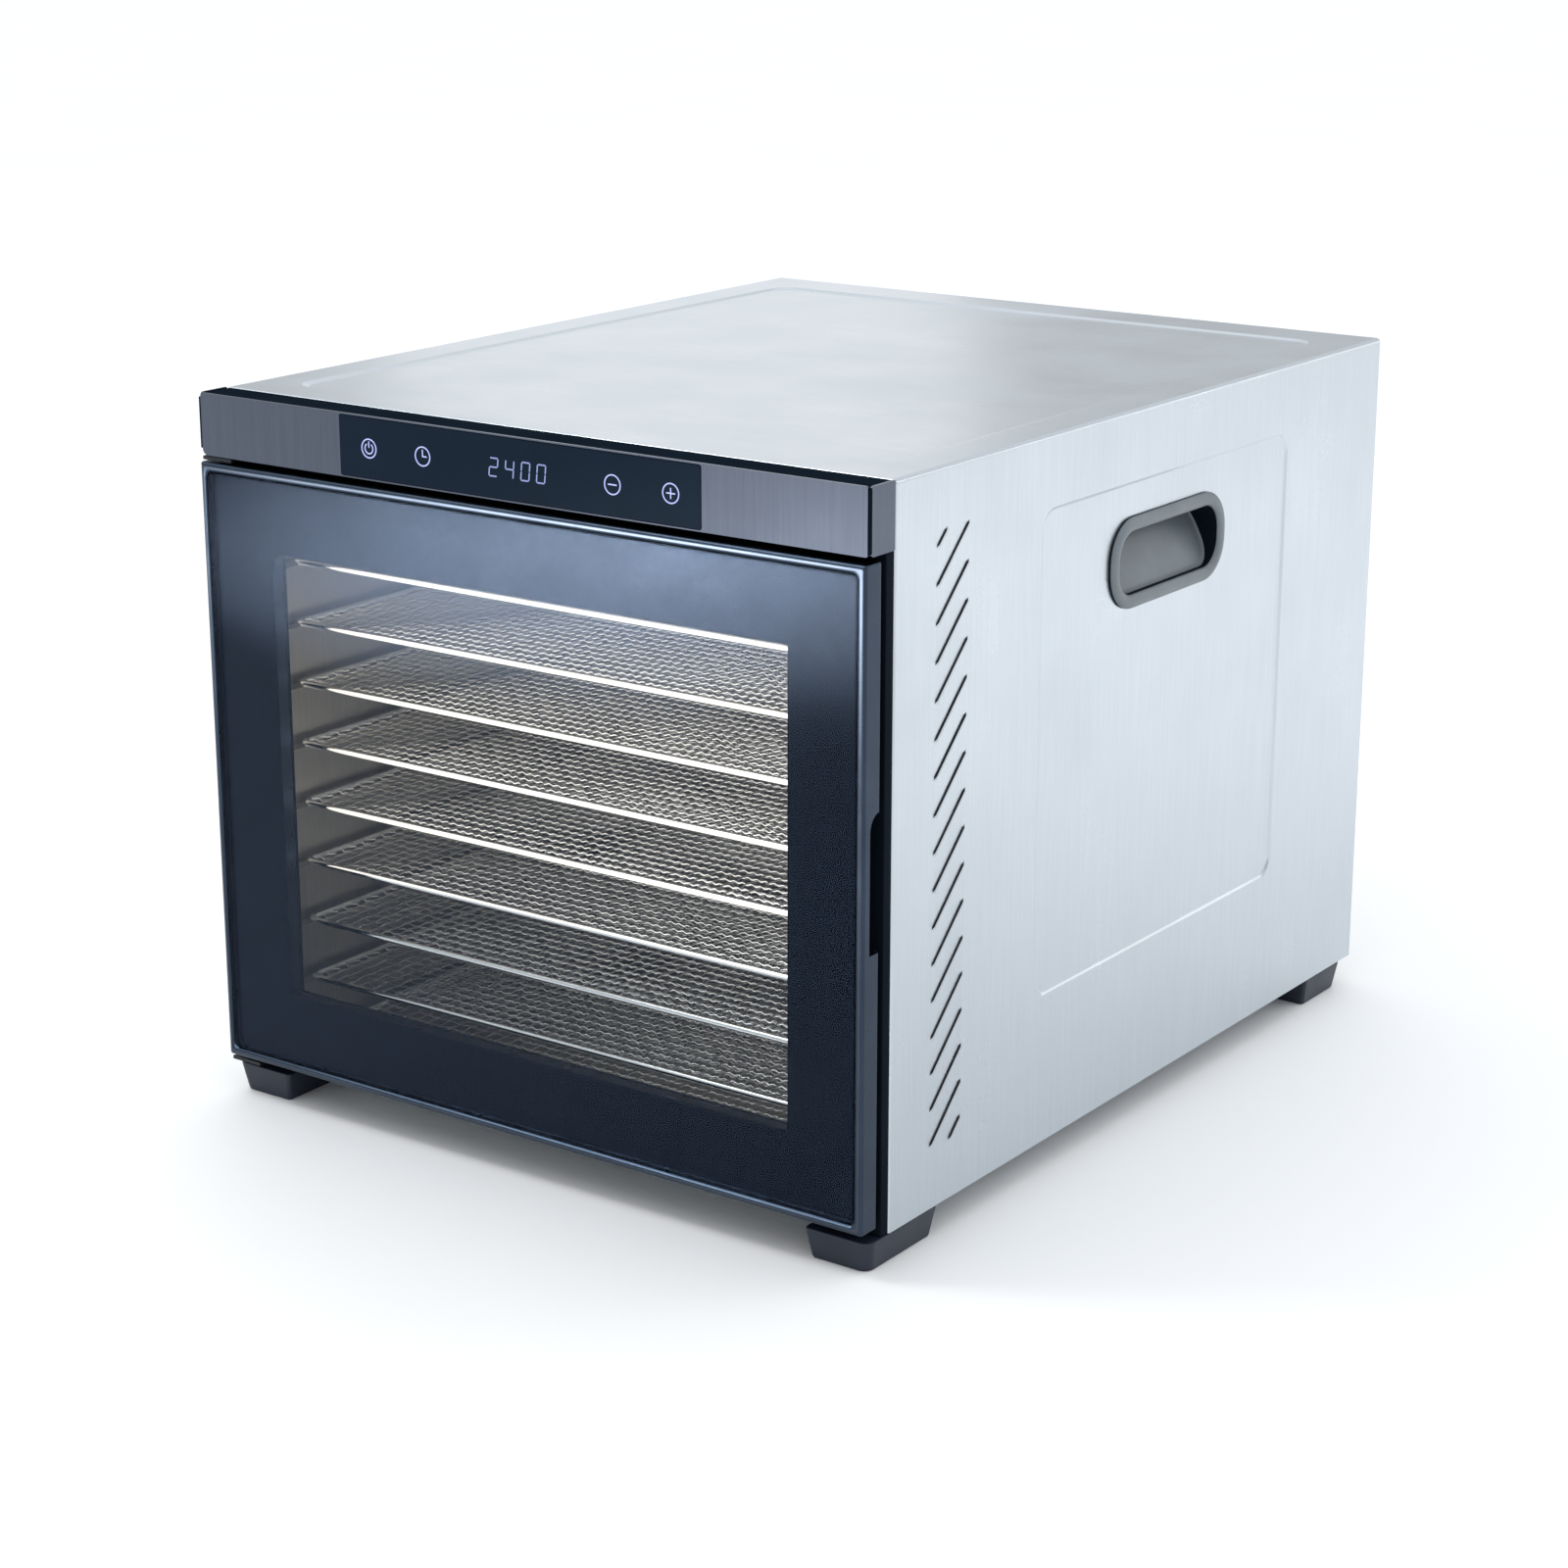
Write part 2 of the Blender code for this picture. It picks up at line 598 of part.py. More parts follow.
def make_control_strip():
    """The housing above the door, its metal cover, the glass panel and what lies behind it."""
    low = BEZEL_LOW + GAP
    high = SHELL_TOP - GAP
    half = HALF_WIDTH - BEZEL_SHEET - GAP
    wall = HOUSING_WALL
    floor = HOUSING_FACE + wall
    outer = ((-half, low), (half, high))
    inner = ((-half + wall, low + wall), (half - wall, high - wall))
    loops = [level("Y", HOUSING_FACE, box_outline(*outer)), level("Y", FASCIA_BACK, box_outline(*outer)),
             level("Y", FASCIA_BACK, box_outline(*inner)), level("Y", floor, box_outline(*inner))]
    housing = add_part("control_housing", loft(loops), BLACK)
    window_low = (PANEL_LEFT + 0.0025, low + 0.0035)
    window_high = (PANEL_RIGHT - 0.0025, high - 0.0035)
    cut = block((window_low[0], HOUSING_FACE - OVERCUT, window_low[1]),
                (window_high[0], floor + OVERCUT, window_high[1]))
    boolean(housing, cut, "DIFFERENCE")

    inside = HALF_WIDTH - BEZEL_SHEET
    wrap = [(-HALF_WIDTH, FASCIA_BACK), (-HALF_WIDTH, BEZEL_FACE), (HALF_WIDTH, BEZEL_FACE),
            (HALF_WIDTH, FASCIA_BACK), (inside, FASCIA_BACK), (inside, BEZEL_FACE + BEZEL_SHEET),
            (-inside, BEZEL_FACE + BEZEL_SHEET), (-inside, FASCIA_BACK)]
    cover = add_part("bezel_plate", plate("Z", BEZEL_LOW, SHELL_TOP, wrap), GUNMETAL)
    glass_low = (PANEL_LEFT, BEZEL_LOW + PANEL_MARGIN)
    glass_high = (PANEL_RIGHT, SHELL_TOP - PANEL_MARGIN)
    cut = block((glass_low[0] - GAP, BEZEL_FACE - OVERCUT, glass_low[1] - GAP),
                (glass_high[0] + GAP, BEZEL_FACE + BEZEL_SHEET + OVERCUT, glass_high[1] + GAP))
    boolean(cover, cut, "DIFFERENCE")
    glass = plate("Y", BEZEL_FACE - GAP, HOUSING_FACE - GAP, rounded(glass_low, glass_high, 0.0012))
    add_part("control_glass", glass, PANEL)

    board_front = floor + GAP
    board = block((PANEL_LEFT - 0.004, board_front, low + 0.003),
                  (PANEL_RIGHT + 0.004, board_front + BOARD_THICKNESS, high - 0.003))
    add_part("touch_board", board, BOARD)
    display = plate("Y", HOUSING_FACE, floor, box_outline(DISPLAY_LOW, DISPLAY_HIGH))
    add_part("display_module", display, DISPLAY)


def make_door(hinge):
    """The door: outer frame, glass pane, inner frame, seal and two magnets."""
    front_round = 0.004
    edge_round = 0.0015
    swing = HINGE_X + DOOR_HALF
    back = DOOR_BACK - DOOR_LINER - GAP
    blend = math.degrees(math.asin((back - HINGE_Y) / swing))
    plan = arc((HINGE_X, HINGE_Y), swing, 180 - blend, 180, 4)
    plan += arc((-DOOR_HALF + front_round, DOOR_FACE + front_round), front_round, 180, 270, 3)
    plan += arc((DOOR_HALF - edge_round, DOOR_FACE + edge_round), edge_round, 270, 360, 2)
    plan.append((DOOR_HALF, back))
    frame = add_part("door_frame", plate("Z", DOOR_LOW, DOOR_HIGH, plan), DARK, parent=hinge)

    pane = (DOOR_HALF - DOOR_LIP, DOOR_LOW + DOOR_LIP, DOOR_HIGH - DOOR_LIP)
    pocket = rounded((-pane[0], pane[1]), (pane[0], pane[2]), POCKET_RADIUS)
    boolean(frame, plate("Y", DOOR_FACE - OVERCUT, POCKET_FLOOR, pocket), "DIFFERENCE")
    window = block((-WINDOW_HALF, DOOR_FACE, WINDOW_LOW), (WINDOW_HALF, DOOR_BACK, WINDOW_HIGH))
    boolean(frame, window, "DIFFERENCE")
    boolean(frame, merged(door_frame_cuts(back)), "DIFFERENCE")

    play = 0.0008
    glass_front = DOOR_FACE + GLASS_INSET
    outline = rounded((play - pane[0], pane[1] + play), (pane[0] - play, pane[2] - play),
                      POCKET_RADIUS - play)
    glass = plate("Y", glass_front, glass_front + GLASS_THICKNESS, outline)
    add_part("door_glass", glass, GLASS, parent=hinge)
    make_door_back(hinge)
    for place, bottom in MAGNET_BOTTOMS.items():
        low = (MAGNET_INNER, back - MAGNET_DEPTH, bottom)
        high = (MAGNET_OUTER, back, bottom + MAGNET_HEIGHT)
        add_part("door_magnet_" + place, block(low, high), MAGNET, parent=hinge)


def door_frame_cuts(back):
    """What is cut from behind: the channel, finger notch, hinge holes and magnet pockets."""
    deep = back + OVERCUT
    wall = 0.0025
    outer = box_outline((-CHANNEL_HALF, DOOR_LOW + wall), (CHANNEL_HALF, DOOR_HIGH - wall))
    inner = box_outline((-WINDOW_HALF - wall, WINDOW_LOW - wall), (WINDOW_HALF + wall, WINDOW_HIGH + wall))
    cuts = [plate("Y", POCKET_FLOOR + wall, deep, outer, [inner])]
    bow = 0.010
    notch = [(NOTCH_FRONT, NOTCH_LOW), (deep, NOTCH_LOW), (deep, NOTCH_HIGH)]
    centre = (back, NOTCH_HIGH - bow)
    for share in (0.0, 0.35, 0.7, 1.0):
        angle = math.radians(90 + 90 * share)
        notch.append((centre[0] + (back - NOTCH_FRONT) * math.cos(angle), centre[1] + bow * math.sin(angle)))
    cuts.append(plate("X", NOTCH_INNER, DOOR_HALF + OVERCUT, notch))
    bottom_hole = (DOOR_LOW - OVERCUT, DOOR_LOW + PIN_ENTRY)
    top_hole = (DOOR_HIGH - PIN_ENTRY, DOOR_HIGH + OVERCUT)
    for low, high in (bottom_hole, top_hole):
        profile = [(PIN_RADIUS + GAP, low), (PIN_RADIUS + GAP, high)]
        cuts.append(turned("Z", (HINGE_X, HINGE_Y), profile, steps=16))
    for bottom in MAGNET_BOTTOMS.values():
        low = (MAGNET_INNER - GAP, back - MAGNET_DEPTH - GAP, bottom - GAP)
        high = (MAGNET_OUTER + GAP, deep, bottom + MAGNET_HEIGHT + GAP)
        cuts.append(block(low, high))
    return cuts


def make_door_back(hinge):
    """The door's inner frame, notched for the fingers, and the seal on it."""
    margin = 0.0025
    left = HINGE_X - margin
    right = DOOR_HALF - margin
    low = DOOR_LOW + margin
    high = DOOR_HIGH - margin
    outline = [(left, low), (right, low), (right, NOTCH_LOW), (NOTCH_INNER, NOTCH_LOW),
               (NOTCH_INNER, NOTCH_HIGH), (right, NOTCH_HIGH), (right, high), (left, high)]
    window = box_outline((-WINDOW_HALF, WINDOW_LOW), (WINDOW_HALF, WINDOW_HIGH))
    shape = plate("Y", DOOR_BACK - DOOR_LINER, DOOR_BACK, outline, [window])
    add_part("door_liner", shape, BLACK, parent=hinge)

    front = DOOR_BACK + GAP
    back = FASCIA_FACE - GAP
    outer = rounded(*SEAL_SPAN, SEAL_WIDTH + SEAL_RADIUS)
    inner_low = tuple(value + SEAL_WIDTH for value in SEAL_SPAN[0])
    inner_high = tuple(value - SEAL_WIDTH for value in SEAL_SPAN[1])
    inner = rounded(inner_low, inner_high, SEAL_RADIUS)
    loops = [level("Y", front, outer), level("Y", back, outer), level("Y", back, inner),
             level("Y", front, inner)]
    add_part("door_seal", loft(loops, ring=True), SEAL, parent=hinge)


def make_hinges():
    """A bracket and a pin above and below the door's left edge."""
    left = -0.2235
    right = -0.2020
    hole = [arc((HINGE_X, HINGE_Y), PIN_RADIUS + GAP, 0, 337.5, 15)]
    foot = box_outline((left, DOOR_FACE + 0.003), (right, FASCIA_FACE - GAP))
    thick = 0.002
    top = BEZEL_LOW - 0.0005
    add_part("hinge_bracket_upper", plate("Z", top - thick, top, foot, hole), STEEL)
    top = DOOR_LOW - thick
    shelf = box_outline((left, DOOR_FACE + 0.003), (right, FASCIA_FACE - 0.003))
    lower = add_part("hinge_bracket_lower", plate("Z", top - thick, top, shelf, hole), STEEL)
    tab = block((left, FASCIA_FACE - 0.004, top - thick - 0.001), (right, FASCIA_FACE - GAP, top + 0.001))
    boolean(lower, tab, "UNION")
    ends = {"upper": (DOOR_HIGH - PIN_ENTRY + 0.001, BEZEL_LOW - GAP),
            "lower": (top - thick - 0.001, DOOR_LOW + PIN_ENTRY - 0.001)}
    for place, (low, high) in ends.items():
        profile = [(PIN_RADIUS, low), (PIN_RADIUS, high)]
        pin = turned("Z", (HINGE_X, HINGE_Y), profile, steps=16)
        add_part("hinge_pin_" + place, pin, MOTOR, smooth=True)


# ---------------------------------------------------------------- fan, heater and electrics

def make_fan(rotor):
    """A shaft, and a hub with blades whose (radius, chord, pitch) changes along them."""
    centre = (0.0, FAN_Z)
    shaft = turned("Y", centre, [(SHAFT_RADIUS, FAN_FRONT - 0.002), (SHAFT_RADIUS, SHAFT_BACK)])
    add_part("fan_shaft", shaft, MOTOR, parent=rotor, smooth=True)
    bore = SHAFT_RADIUS + GAP
    profile = [(bore, FAN_FRONT), (HUB_RADIUS, FAN_FRONT), (HUB_RADIUS, FAN_BACK), (bore, FAN_BACK)]
    fan = add_part("fan_blade", turned("Y", centre, profile, bored=True), FAN, parent=rotor)
    half = BLADE_THICKNESS / 2
    blades = []
    for index in range(FAN_BLADES):
        angle = 2 * math.pi * index / FAN_BLADES
        loops = []
        for radius, chord, pitch in BLADE_SECTIONS:
            tilt = math.radians(pitch)
            run = chord / 2 * math.cos(tilt)
            rise = chord / 2 * math.sin(tilt)
            section = [(-run, -rise - half), (run, rise - half), (run, rise + half), (-run, -rise + half)]
            loop = []
            for across, along in section:
                x = radius * math.cos(angle) - across * math.sin(angle)
                z = radius * math.sin(angle) + across * math.cos(angle)
                loop.append((x, FAN_MIDDLE + along, FAN_Z + z))
            loops.append(loop)
        blades.append(loft(loops))
    boolean(fan, merged(blades), "UNION")


def make_motor():
    """The fan motor and the strap that carries it across the cabinet."""
    half = HALF_INSIDE - 0.0008
    inner = half - BRACKET_SHEET
    face = BRACKET_FRONT + BRACKET_SHEET
    end = BRACKET_FRONT + BRACKET_FLANGE
    outline = [(-half, BRACKET_FRONT), (half, BRACKET_FRONT), (half, end), (inner, end), (inner, face),
               (-inner, face), (-inner, end), (-half, end)]
    strap = add_part("motor_bracket", plate("Z", FAN_Z - 0.030, FAN_Z + 0.030, outline), STEEL)
    boss = 0.010
    rim = boss + 0.0005
    hole = turned("Y", (0.0, FAN_Z), [(rim, BRACKET_FRONT - OVERCUT), (rim, face + OVERCUT)])
    boolean(strap, hole, "DIFFERENCE")
    bore = SHAFT_RADIUS + GAP
    nose = BRACKET_FRONT - 0.0045
    seat = face + GAP
    back = 0.245
    profile = [(bore, SHAFT_BACK + 0.0007), (bore, nose), (boss, nose), (boss, seat), (0.030, seat),
               (MOTOR_RADIUS, seat + 0.004), (MOTOR_RADIUS, back - 0.004), (0.029, back), (0.012, back),
               (0.012, back + 0.007)]
    add_part("fan_motor", turned("Y", (0.0, FAN_Z), profile), MOTOR, smooth=True)


def make_heater():
    """A sheathed element wound as a flat spiral round the fan, on two ceramic stand-offs."""
    inner = 0.092
    outer = 0.106
    turns = 1.9
    start = math.radians(95)
    depth = 0.1560
    steps = 36
    path = []
    for index in range(steps + 1):
        share = index / steps
        radius = inner + (outer - inner) * share
        angle = start + 2 * math.pi * turns * share
        path.append((radius * math.cos(angle), depth, FAN_Z + radius * math.sin(angle)))
    tail = 0.034
    path.insert(0, (path[0][0], depth + tail, path[0][2]))
    path.append((path[-1][0], depth + tail, path[-1][2]))
    tube("heater_coil", path, 0.0032, HEATER)
    for side, hand in ((-1, "left"), (1, "right")):
        edges = sorted((side * 0.088, side * 0.112))
        low = (edges[0], AIR_WALL_FRONT + SHEET + GAP, FAN_Z - 0.008)
        high = (edges[1], depth - 0.0036, FAN_Z + 0.008)
        add_part("heater_standoff_" + hand, block(low, high), CERAMIC)


def make_sensors():
    """The cut-out thermostat, the thermal fuse and the chamber's temperature probe."""
    seat = AIR_WALL_FRONT + SHEET + GAP
    disc = turned("Y", (-0.160, 0.305), [(0.0085, seat), (0.0085, seat + 0.005), (0.006, seat + 0.008)])
    add_part("thermostat", disc, CERAMIC, smooth=True)
    fuse = turned("X", (seat + 0.003, 0.275), [(0.0022, -0.170), (0.0022, -0.150)], steps=10)
    add_part("thermal_fuse", fuse, MOTOR, smooth=True)
    probe = [(0.0014, 0.1205), (0.0022, 0.1220), (0.0022, 0.1650), (0.0014, 0.1660)]
    add_part("temperature_probe", turned("Y", PROBE_PLACE, probe, steps=10), MOTOR, smooth=True)


def make_electrics():
    """The power board, the mains inlet and the leads between them and the controls."""
    back = 0.2640
    board = add_part("power_board", block((0.100, back - 0.0016, 0.250), (0.205, back, 0.360)), BOARD)
    blocks = [((0.108, 0.340), (0.125, 0.349), 0.007), ((0.140, 0.300), (0.175, 0.335), 0.030),
              ((0.108, 0.285), (0.126, 0.305), 0.016), ((0.135, 0.262), (0.160, 0.278), 0.012),
              ((0.180, 0.262), (0.196, 0.300), 0.010)]
    raised = []
    for low, high, height in blocks:
        front = back - 0.0016 - height
        raised.append(block((low[0], front, low[1]), (high[0], back - 0.0008, high[1])))
    boolean(board, merged(raised), "UNION")

    thick = 0.0008
    run = 0.397
    start = HOUSING_FACE + HOUSING_WALL + BOARD_THICKNESS + 2 * GAP
    end = 0.2585
    bend = 0.380
    foot = 0.3493
    upper = [(start, run), (end - 0.0235, run), (end, bend), (end, foot)]
    lower = [(end - thick, foot), (end - thick, bend - GAP), (end - 0.0235 - GAP, run - thick),
             (start, run - thick)]
    add_part("ribbon_cable", plate("X", 0.110, 0.122, upper + lower), CABLE)

    seat = REAR_PANEL_FRONT + SHEET + GAP
    body = inlet_outline(0.0138, 0.0103, 0.003)
    flange = inlet_outline(0.0180, 0.0140, 0.002)
    mouth = inlet_outline(0.0122, 0.0084, 0.0035)
    face = -DOOR_FACE
    loops = [level("Y", 0.2500, body), level("Y", seat, body), level("Y", seat, flange),
             level("Y", face, flange), level("Y", face, mouth), level("Y", 0.2600, mouth)]
    inlet = add_part("inlet_socket", loft(loops), BLACK)
    pins = []
    for across, up in ((-0.007, -0.002), (0.0, 0.002), (0.007, -0.002)):
        middle = (INLET_X + across, INLET_Z + up)
        pins.append(block((middle[0] - 0.001, 0.2580, middle[1] - 0.002),
                          (middle[0] + 0.001, 0.2720, middle[1] + 0.002)))
    boolean(inlet, merged(pins), "UNION")

    path = []
    steps = 14
    for index in range(steps + 1):
        share = index / steps
        bow = math.sin(math.pi * share)
        path.append((INLET_X - 0.012 * bow, 0.2455 + 0.004 * share - 0.010 * bow,
                     INLET_Z + 0.012 + (0.2610 - INLET_Z - 0.0125) * share))
    path.insert(0, (INLET_X, 0.2455, INLET_Z + 0.004))
    tube("mains_lead", path, 0.0035, CABLE)


def main():
    for leftover in list(bpy.data.objects):
        bpy.data.objects.remove(leftover, do_unlink=True)
    hinge = empty("door_axis", (HINGE_X, HINGE_Y, 0.0))
    rotor = empty("fan_axis", (0.0, BRACKET_FRONT, FAN_Z))
    make_shell()
    make_base_pan()
    make_rear_panel()
    make_rear_screws()
    make_feet()
    for side, hand in ((-1, "left"), (1, "right")):
        make_handle(side, hand)
        make_side_liner(side, hand)
    make_chamber_sheets()
    make_trays()
    make_fascia()
    make_control_strip()
    make_door(hinge)
    make_hinges()
    make_fan(rotor)
    make_motor()
    make_heater()
    make_sensors()
    make_electrics()


main()
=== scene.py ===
import json
import math

import bmesh
import bpy
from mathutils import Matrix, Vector


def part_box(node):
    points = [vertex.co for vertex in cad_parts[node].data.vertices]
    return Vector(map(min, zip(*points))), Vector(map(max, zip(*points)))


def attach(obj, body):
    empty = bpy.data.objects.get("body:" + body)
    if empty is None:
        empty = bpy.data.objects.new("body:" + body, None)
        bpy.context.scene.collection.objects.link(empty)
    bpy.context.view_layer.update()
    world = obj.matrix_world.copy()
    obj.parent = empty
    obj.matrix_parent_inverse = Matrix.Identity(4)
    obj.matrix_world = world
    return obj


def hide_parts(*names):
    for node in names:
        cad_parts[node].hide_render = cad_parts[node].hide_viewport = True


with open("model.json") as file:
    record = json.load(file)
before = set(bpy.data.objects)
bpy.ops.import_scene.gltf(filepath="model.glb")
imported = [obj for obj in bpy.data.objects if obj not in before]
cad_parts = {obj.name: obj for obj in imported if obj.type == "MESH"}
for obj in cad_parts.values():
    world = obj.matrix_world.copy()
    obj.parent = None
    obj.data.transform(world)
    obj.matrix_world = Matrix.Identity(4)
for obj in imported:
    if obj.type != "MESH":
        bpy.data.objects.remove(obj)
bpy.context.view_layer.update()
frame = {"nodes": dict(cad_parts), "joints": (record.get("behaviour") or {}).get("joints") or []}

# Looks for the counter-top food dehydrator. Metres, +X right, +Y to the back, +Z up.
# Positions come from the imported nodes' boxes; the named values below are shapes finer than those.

MM = 0.001

# The angle, in degrees, from which an edge between two faces is shaded as a sharp one
CREASE = 38

# Cabinet, from its node, with the folded sheet's own details
SHELL_LOW, SHELL_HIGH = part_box("outer_shell")
HALF = SHELL_HIGH.x
FRONT = SHELL_LOW.y
BACK = SHELL_HIGH.y
FLOOR = SHELL_LOW.z
TOP = SHELL_HIGH.z
SHEET = 0.6 * MM
BEND = 2.5 * MM
EDGE_ROLL = 1.2 * MM
EDGE_RETURN = 2.2 * MM
STEP_DEPTH = 1.2 * MM
TOP_STEP_WIDTH = 4.6 * MM
SIDE_STEP_WIDTH = 2.8 * MM
TOP_MARGIN = 27 * MM
TOP_STEP_LENGTH = 470 * MM
TOP_STEP_RADIUS = 14 * MM
SIDE_STEP_LOW = (FRONT + 139.5 * MM, FLOOR + 87 * MM)
SIDE_STEP_HIGH = (FRONT + 412.5 * MM, FLOOR + 357 * MM)
SIDE_STEP_RADIUS = 12 * MM

# Louvres: a 45 degree pattern of lips raised outwards, that fills a tall rectangle
LOUVRE_FRONT = FRONT + 36.7 * MM
LOUVRE_SPAN = 30.5 * MM
LOUVRE_RISE = 29.8 * MM
LOUVRE_PITCH = 20.06 * MM
LOUVRE_LOW = FLOOR + 33.3 * MM
LOUVRE_HIGH = FLOOR + 366 * MM
LOUVRE_COUNT = 18
LOUVRE_WIDTH = 2.4 * MM
LOUVRE_LIFT = 1.15 * MM

# Handle cups
CUP_LOW = (FRONT + 218.5 * MM, FLOOR + 294.7 * MM)
CUP_HIGH = (FRONT + 329.4 * MM, FLOOR + 330.2 * MM)
CUP_RADIUS = 15 * MM
CUP_WALL = 2 * MM
CUP_SHALLOW = 4 * MM
CUP_DEEP = 22 * MM
CUP_FILLET = 2.5 * MM
RIM_WIDTH = 7.8 * MM
RIM_RISE = 2.2 * MM
RIM_SEAT = 0.9 * MM
RIM_EDGE = 0.25 * MM
HOLE_GAP = 0.3 * MM
WELL_WALL = 0.25 * MM
WELL_SINK = 0.2 * MM
WELL_LIFT = 0.1 * MM
CUP_SEAT = HALF - STEP_DEPTH + RIM_SEAT
CUP_MOUTH = CUP_SEAT + RIM_EDGE

# Feet: drafted blocks; each front foot has one large outer corner
FOOT_DRAFT = 3 * MM
FOOT_EDGE = 1.2 * MM
FOOT_TOP_INSET = 0.5 * MM
FOOT_CORNER = 2.5 * MM
FOOT_FRONT_CORNER = 6 * MM

# Rear screws: the head's outline is given as shares of its radius and height
SCREW_SHANK = 1.6 * MM
SCREW_HEAD_HEIGHT = 2 * MM
SCREW_HEAD = ((1.0, 0.0), (1.0, 0.25), (0.93, 0.55), (0.75, 0.8), (0.4, 1.0))
CROSS_ARM = 0.45 * MM
CROSS_REACH = 1.9 * MM
CROSS_DEPTH = 1.3 * MM
CUT_CLEAR = 1 * MM

# Door, closed; the rings shape its outer edge, in millimetres from its back and from its face
DOOR_LOW, DOOR_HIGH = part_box("door_frame")
PANE_LOW, PANE_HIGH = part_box("door_glass")
DOOR_FRONT_ROUND = 4 * MM
DOOR_TOP_ROUND = 2 * MM
DOOR_SIDE_ROUND = 1.8 * MM
DOOR_BACK_ROUND = 0.5 * MM
DOOR_CORNER = 1.2 * MM
DOOR_THICKNESS = DOOR_HIGH.y - DOOR_LOW.y
RINGS_FROM_BACK = (0, 0.1, 0.3, 0.5, 2, 3.5, 5)
RINGS_FROM_FACE = (6.5, 4.2, 3.2, 2.4, 1.8, 1.3, 0.9, 0.5, 0.25, 0.08, 0)
FACE_LIMIT = 0.01 * MM
DOOR_CREASE = 32
LIP = 5 * MM
LIP_ROUND = 1.9 * MM
POCKET_RADIUS = 4 * MM
POCKET_DEPTH = 4.8 * MM
WINDOW_HALF = 176 * MM
WINDOW_LOW = 69.3 * MM
WINDOW_HIGH = 330.5 * MM
WINDOW_RADIUS = 1 * MM
PANE_EDGE = 0.35 * MM
PANE_RADIUS = POCKET_RADIUS - 0.8 * MM
PRINT_REACH = 1 * MM
PRINT_RADIUS = 0.8 * MM
PRINT_GAP = 0.05 * MM
PRINT_THICKNESS = 0.1 * MM
NOTCH_LOW = 175.5 * MM
NOTCH_HIGH = 249.5 * MM
NOTCH_SKIN = 5.6 * MM
NOTCH_INNER = 210.5 * MM
NOTCH_BOW = 10 * MM
NOTCH_CLEAR = 2 * MM
NOTCH_STEPS = 8

# Control strip; its corner radii run low left, low right, high right, high left
BEZEL_LOW, BEZEL_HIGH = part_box("bezel_plate")
PANEL_LOW, PANEL_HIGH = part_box("control_glass")
HOUSING_LOW, HOUSING_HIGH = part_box("control_housing")
BEZEL_SHEET = 1.2 * MM
BEZEL_CORNERS = (3.5 * MM, 1.2 * MM, 1.2 * MM, 2.2 * MM)
BEZEL_BACK_CORNER = 0.8 * MM
BEZEL_EDGE = 0.28 * MM
CORNER_GAP = 1.6 * MM
HOUSING_WALL = 2 * MM
HOUSING_EDGE = 0.35 * MM
HOUSING_LEDGE = (2.5 * MM, 3.5 * MM)
BEAD_INSET = 0.2 * MM
BEAD_RECESS = 0.15 * MM
PANEL_CLEAR = 0.3 * MM
PANEL_EDGE = 0.3 * MM
PANEL_RADIUS = 1.2 * MM
OPENING_RADIUS = 1.5 * MM
KEY_RADIUS = 5.4 * MM
KEY_LINE = 0.68 * MM
KEY_STEPS = 40
SIGN_REACH = KEY_RADIUS * 0.52
POWER_GAP = 35
KEY_CENTRES = {"power": -98.3 * MM, "timer": -60.3 * MM, "minus": 67.3 * MM, "plus": 104.5 * MM}
DIGIT_CENTRES = (-11.4 * MM, -0.6 * MM, 10.1 * MM, 20.6 * MM)
DIGIT_WIDTH = 6.2 * MM
DIGIT_HEIGHT = 10.3 * MM
DIGIT_LINE = 0.75 * MM
DIGIT_SLANT = 0.10
DIGIT_GAP = 0.2 * MM
GLYPH_PROUD = 0.06 * MM

# Trays
TRAY_COUNT = 10
TRAY_LOW, TRAY_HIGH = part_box("tray_1")
ROD_RADIUS = (TRAY_HIGH.z - TRAY_LOW.z) / 2
ROD_CORNER = 6 * MM
WIRE_RADIUS = 0.55 * MM
WIRE_CRIMP = 0.62 * MM
WIRE_SIDES = 3
CELLS_ACROSS = 44
CELLS_DEEP = 43
CRIMPS_PER_CELL = 3

# Studio: the camera stands above and to the right of the front
CAMERA_PLACE = (1.10702, -1.58216, 0.73762)
CAMERA_TURN = math.radians(35.54)
CAMERA_PITCH = math.radians(16.645)
CAMERA_LENS = 76.79
CAMERA_SENSOR = 36
FLOOR_REACH = 30.0
HORIZON_LIGHT = 0.42
OVERHEAD_LIGHT = 1.5
BACKDROP_LIGHT = 1.1

AXES = {"X": Vector((1, 0, 0)), "Y": Vector((0, 1, 0)), "Z": Vector((0, 0, 1))}


# ---------------------------------------------------------------- outlines and shapes

def at(axis, along, across, up):
    """A point given by its distance along an axis and its two other coordinates."""
    if axis == "X":
        return (along, across, up)
    if axis == "Y":
        return (across, along, up)
    return (across, up, along)


def level(axis, along, outline):
    """An outline raised to a loop of points at one distance along an axis."""
    return [at(axis, along, across, up) for across, up in outline]


def arc(centre, radius, start, end, steps):
    """Points on an arc, with its start and end in degrees."""
    points = []
    for index in range(steps + 1):
        angle = math.radians(start + (end - start) * index / steps)
        points.append((centre[0] + radius * math.cos(angle), centre[1] + radius * math.sin(angle)))
    return points


def circle(centre, radius, steps):
    """A closed circle's points."""
    return arc(centre, radius, 0, 360 - 360 / steps, steps - 1)


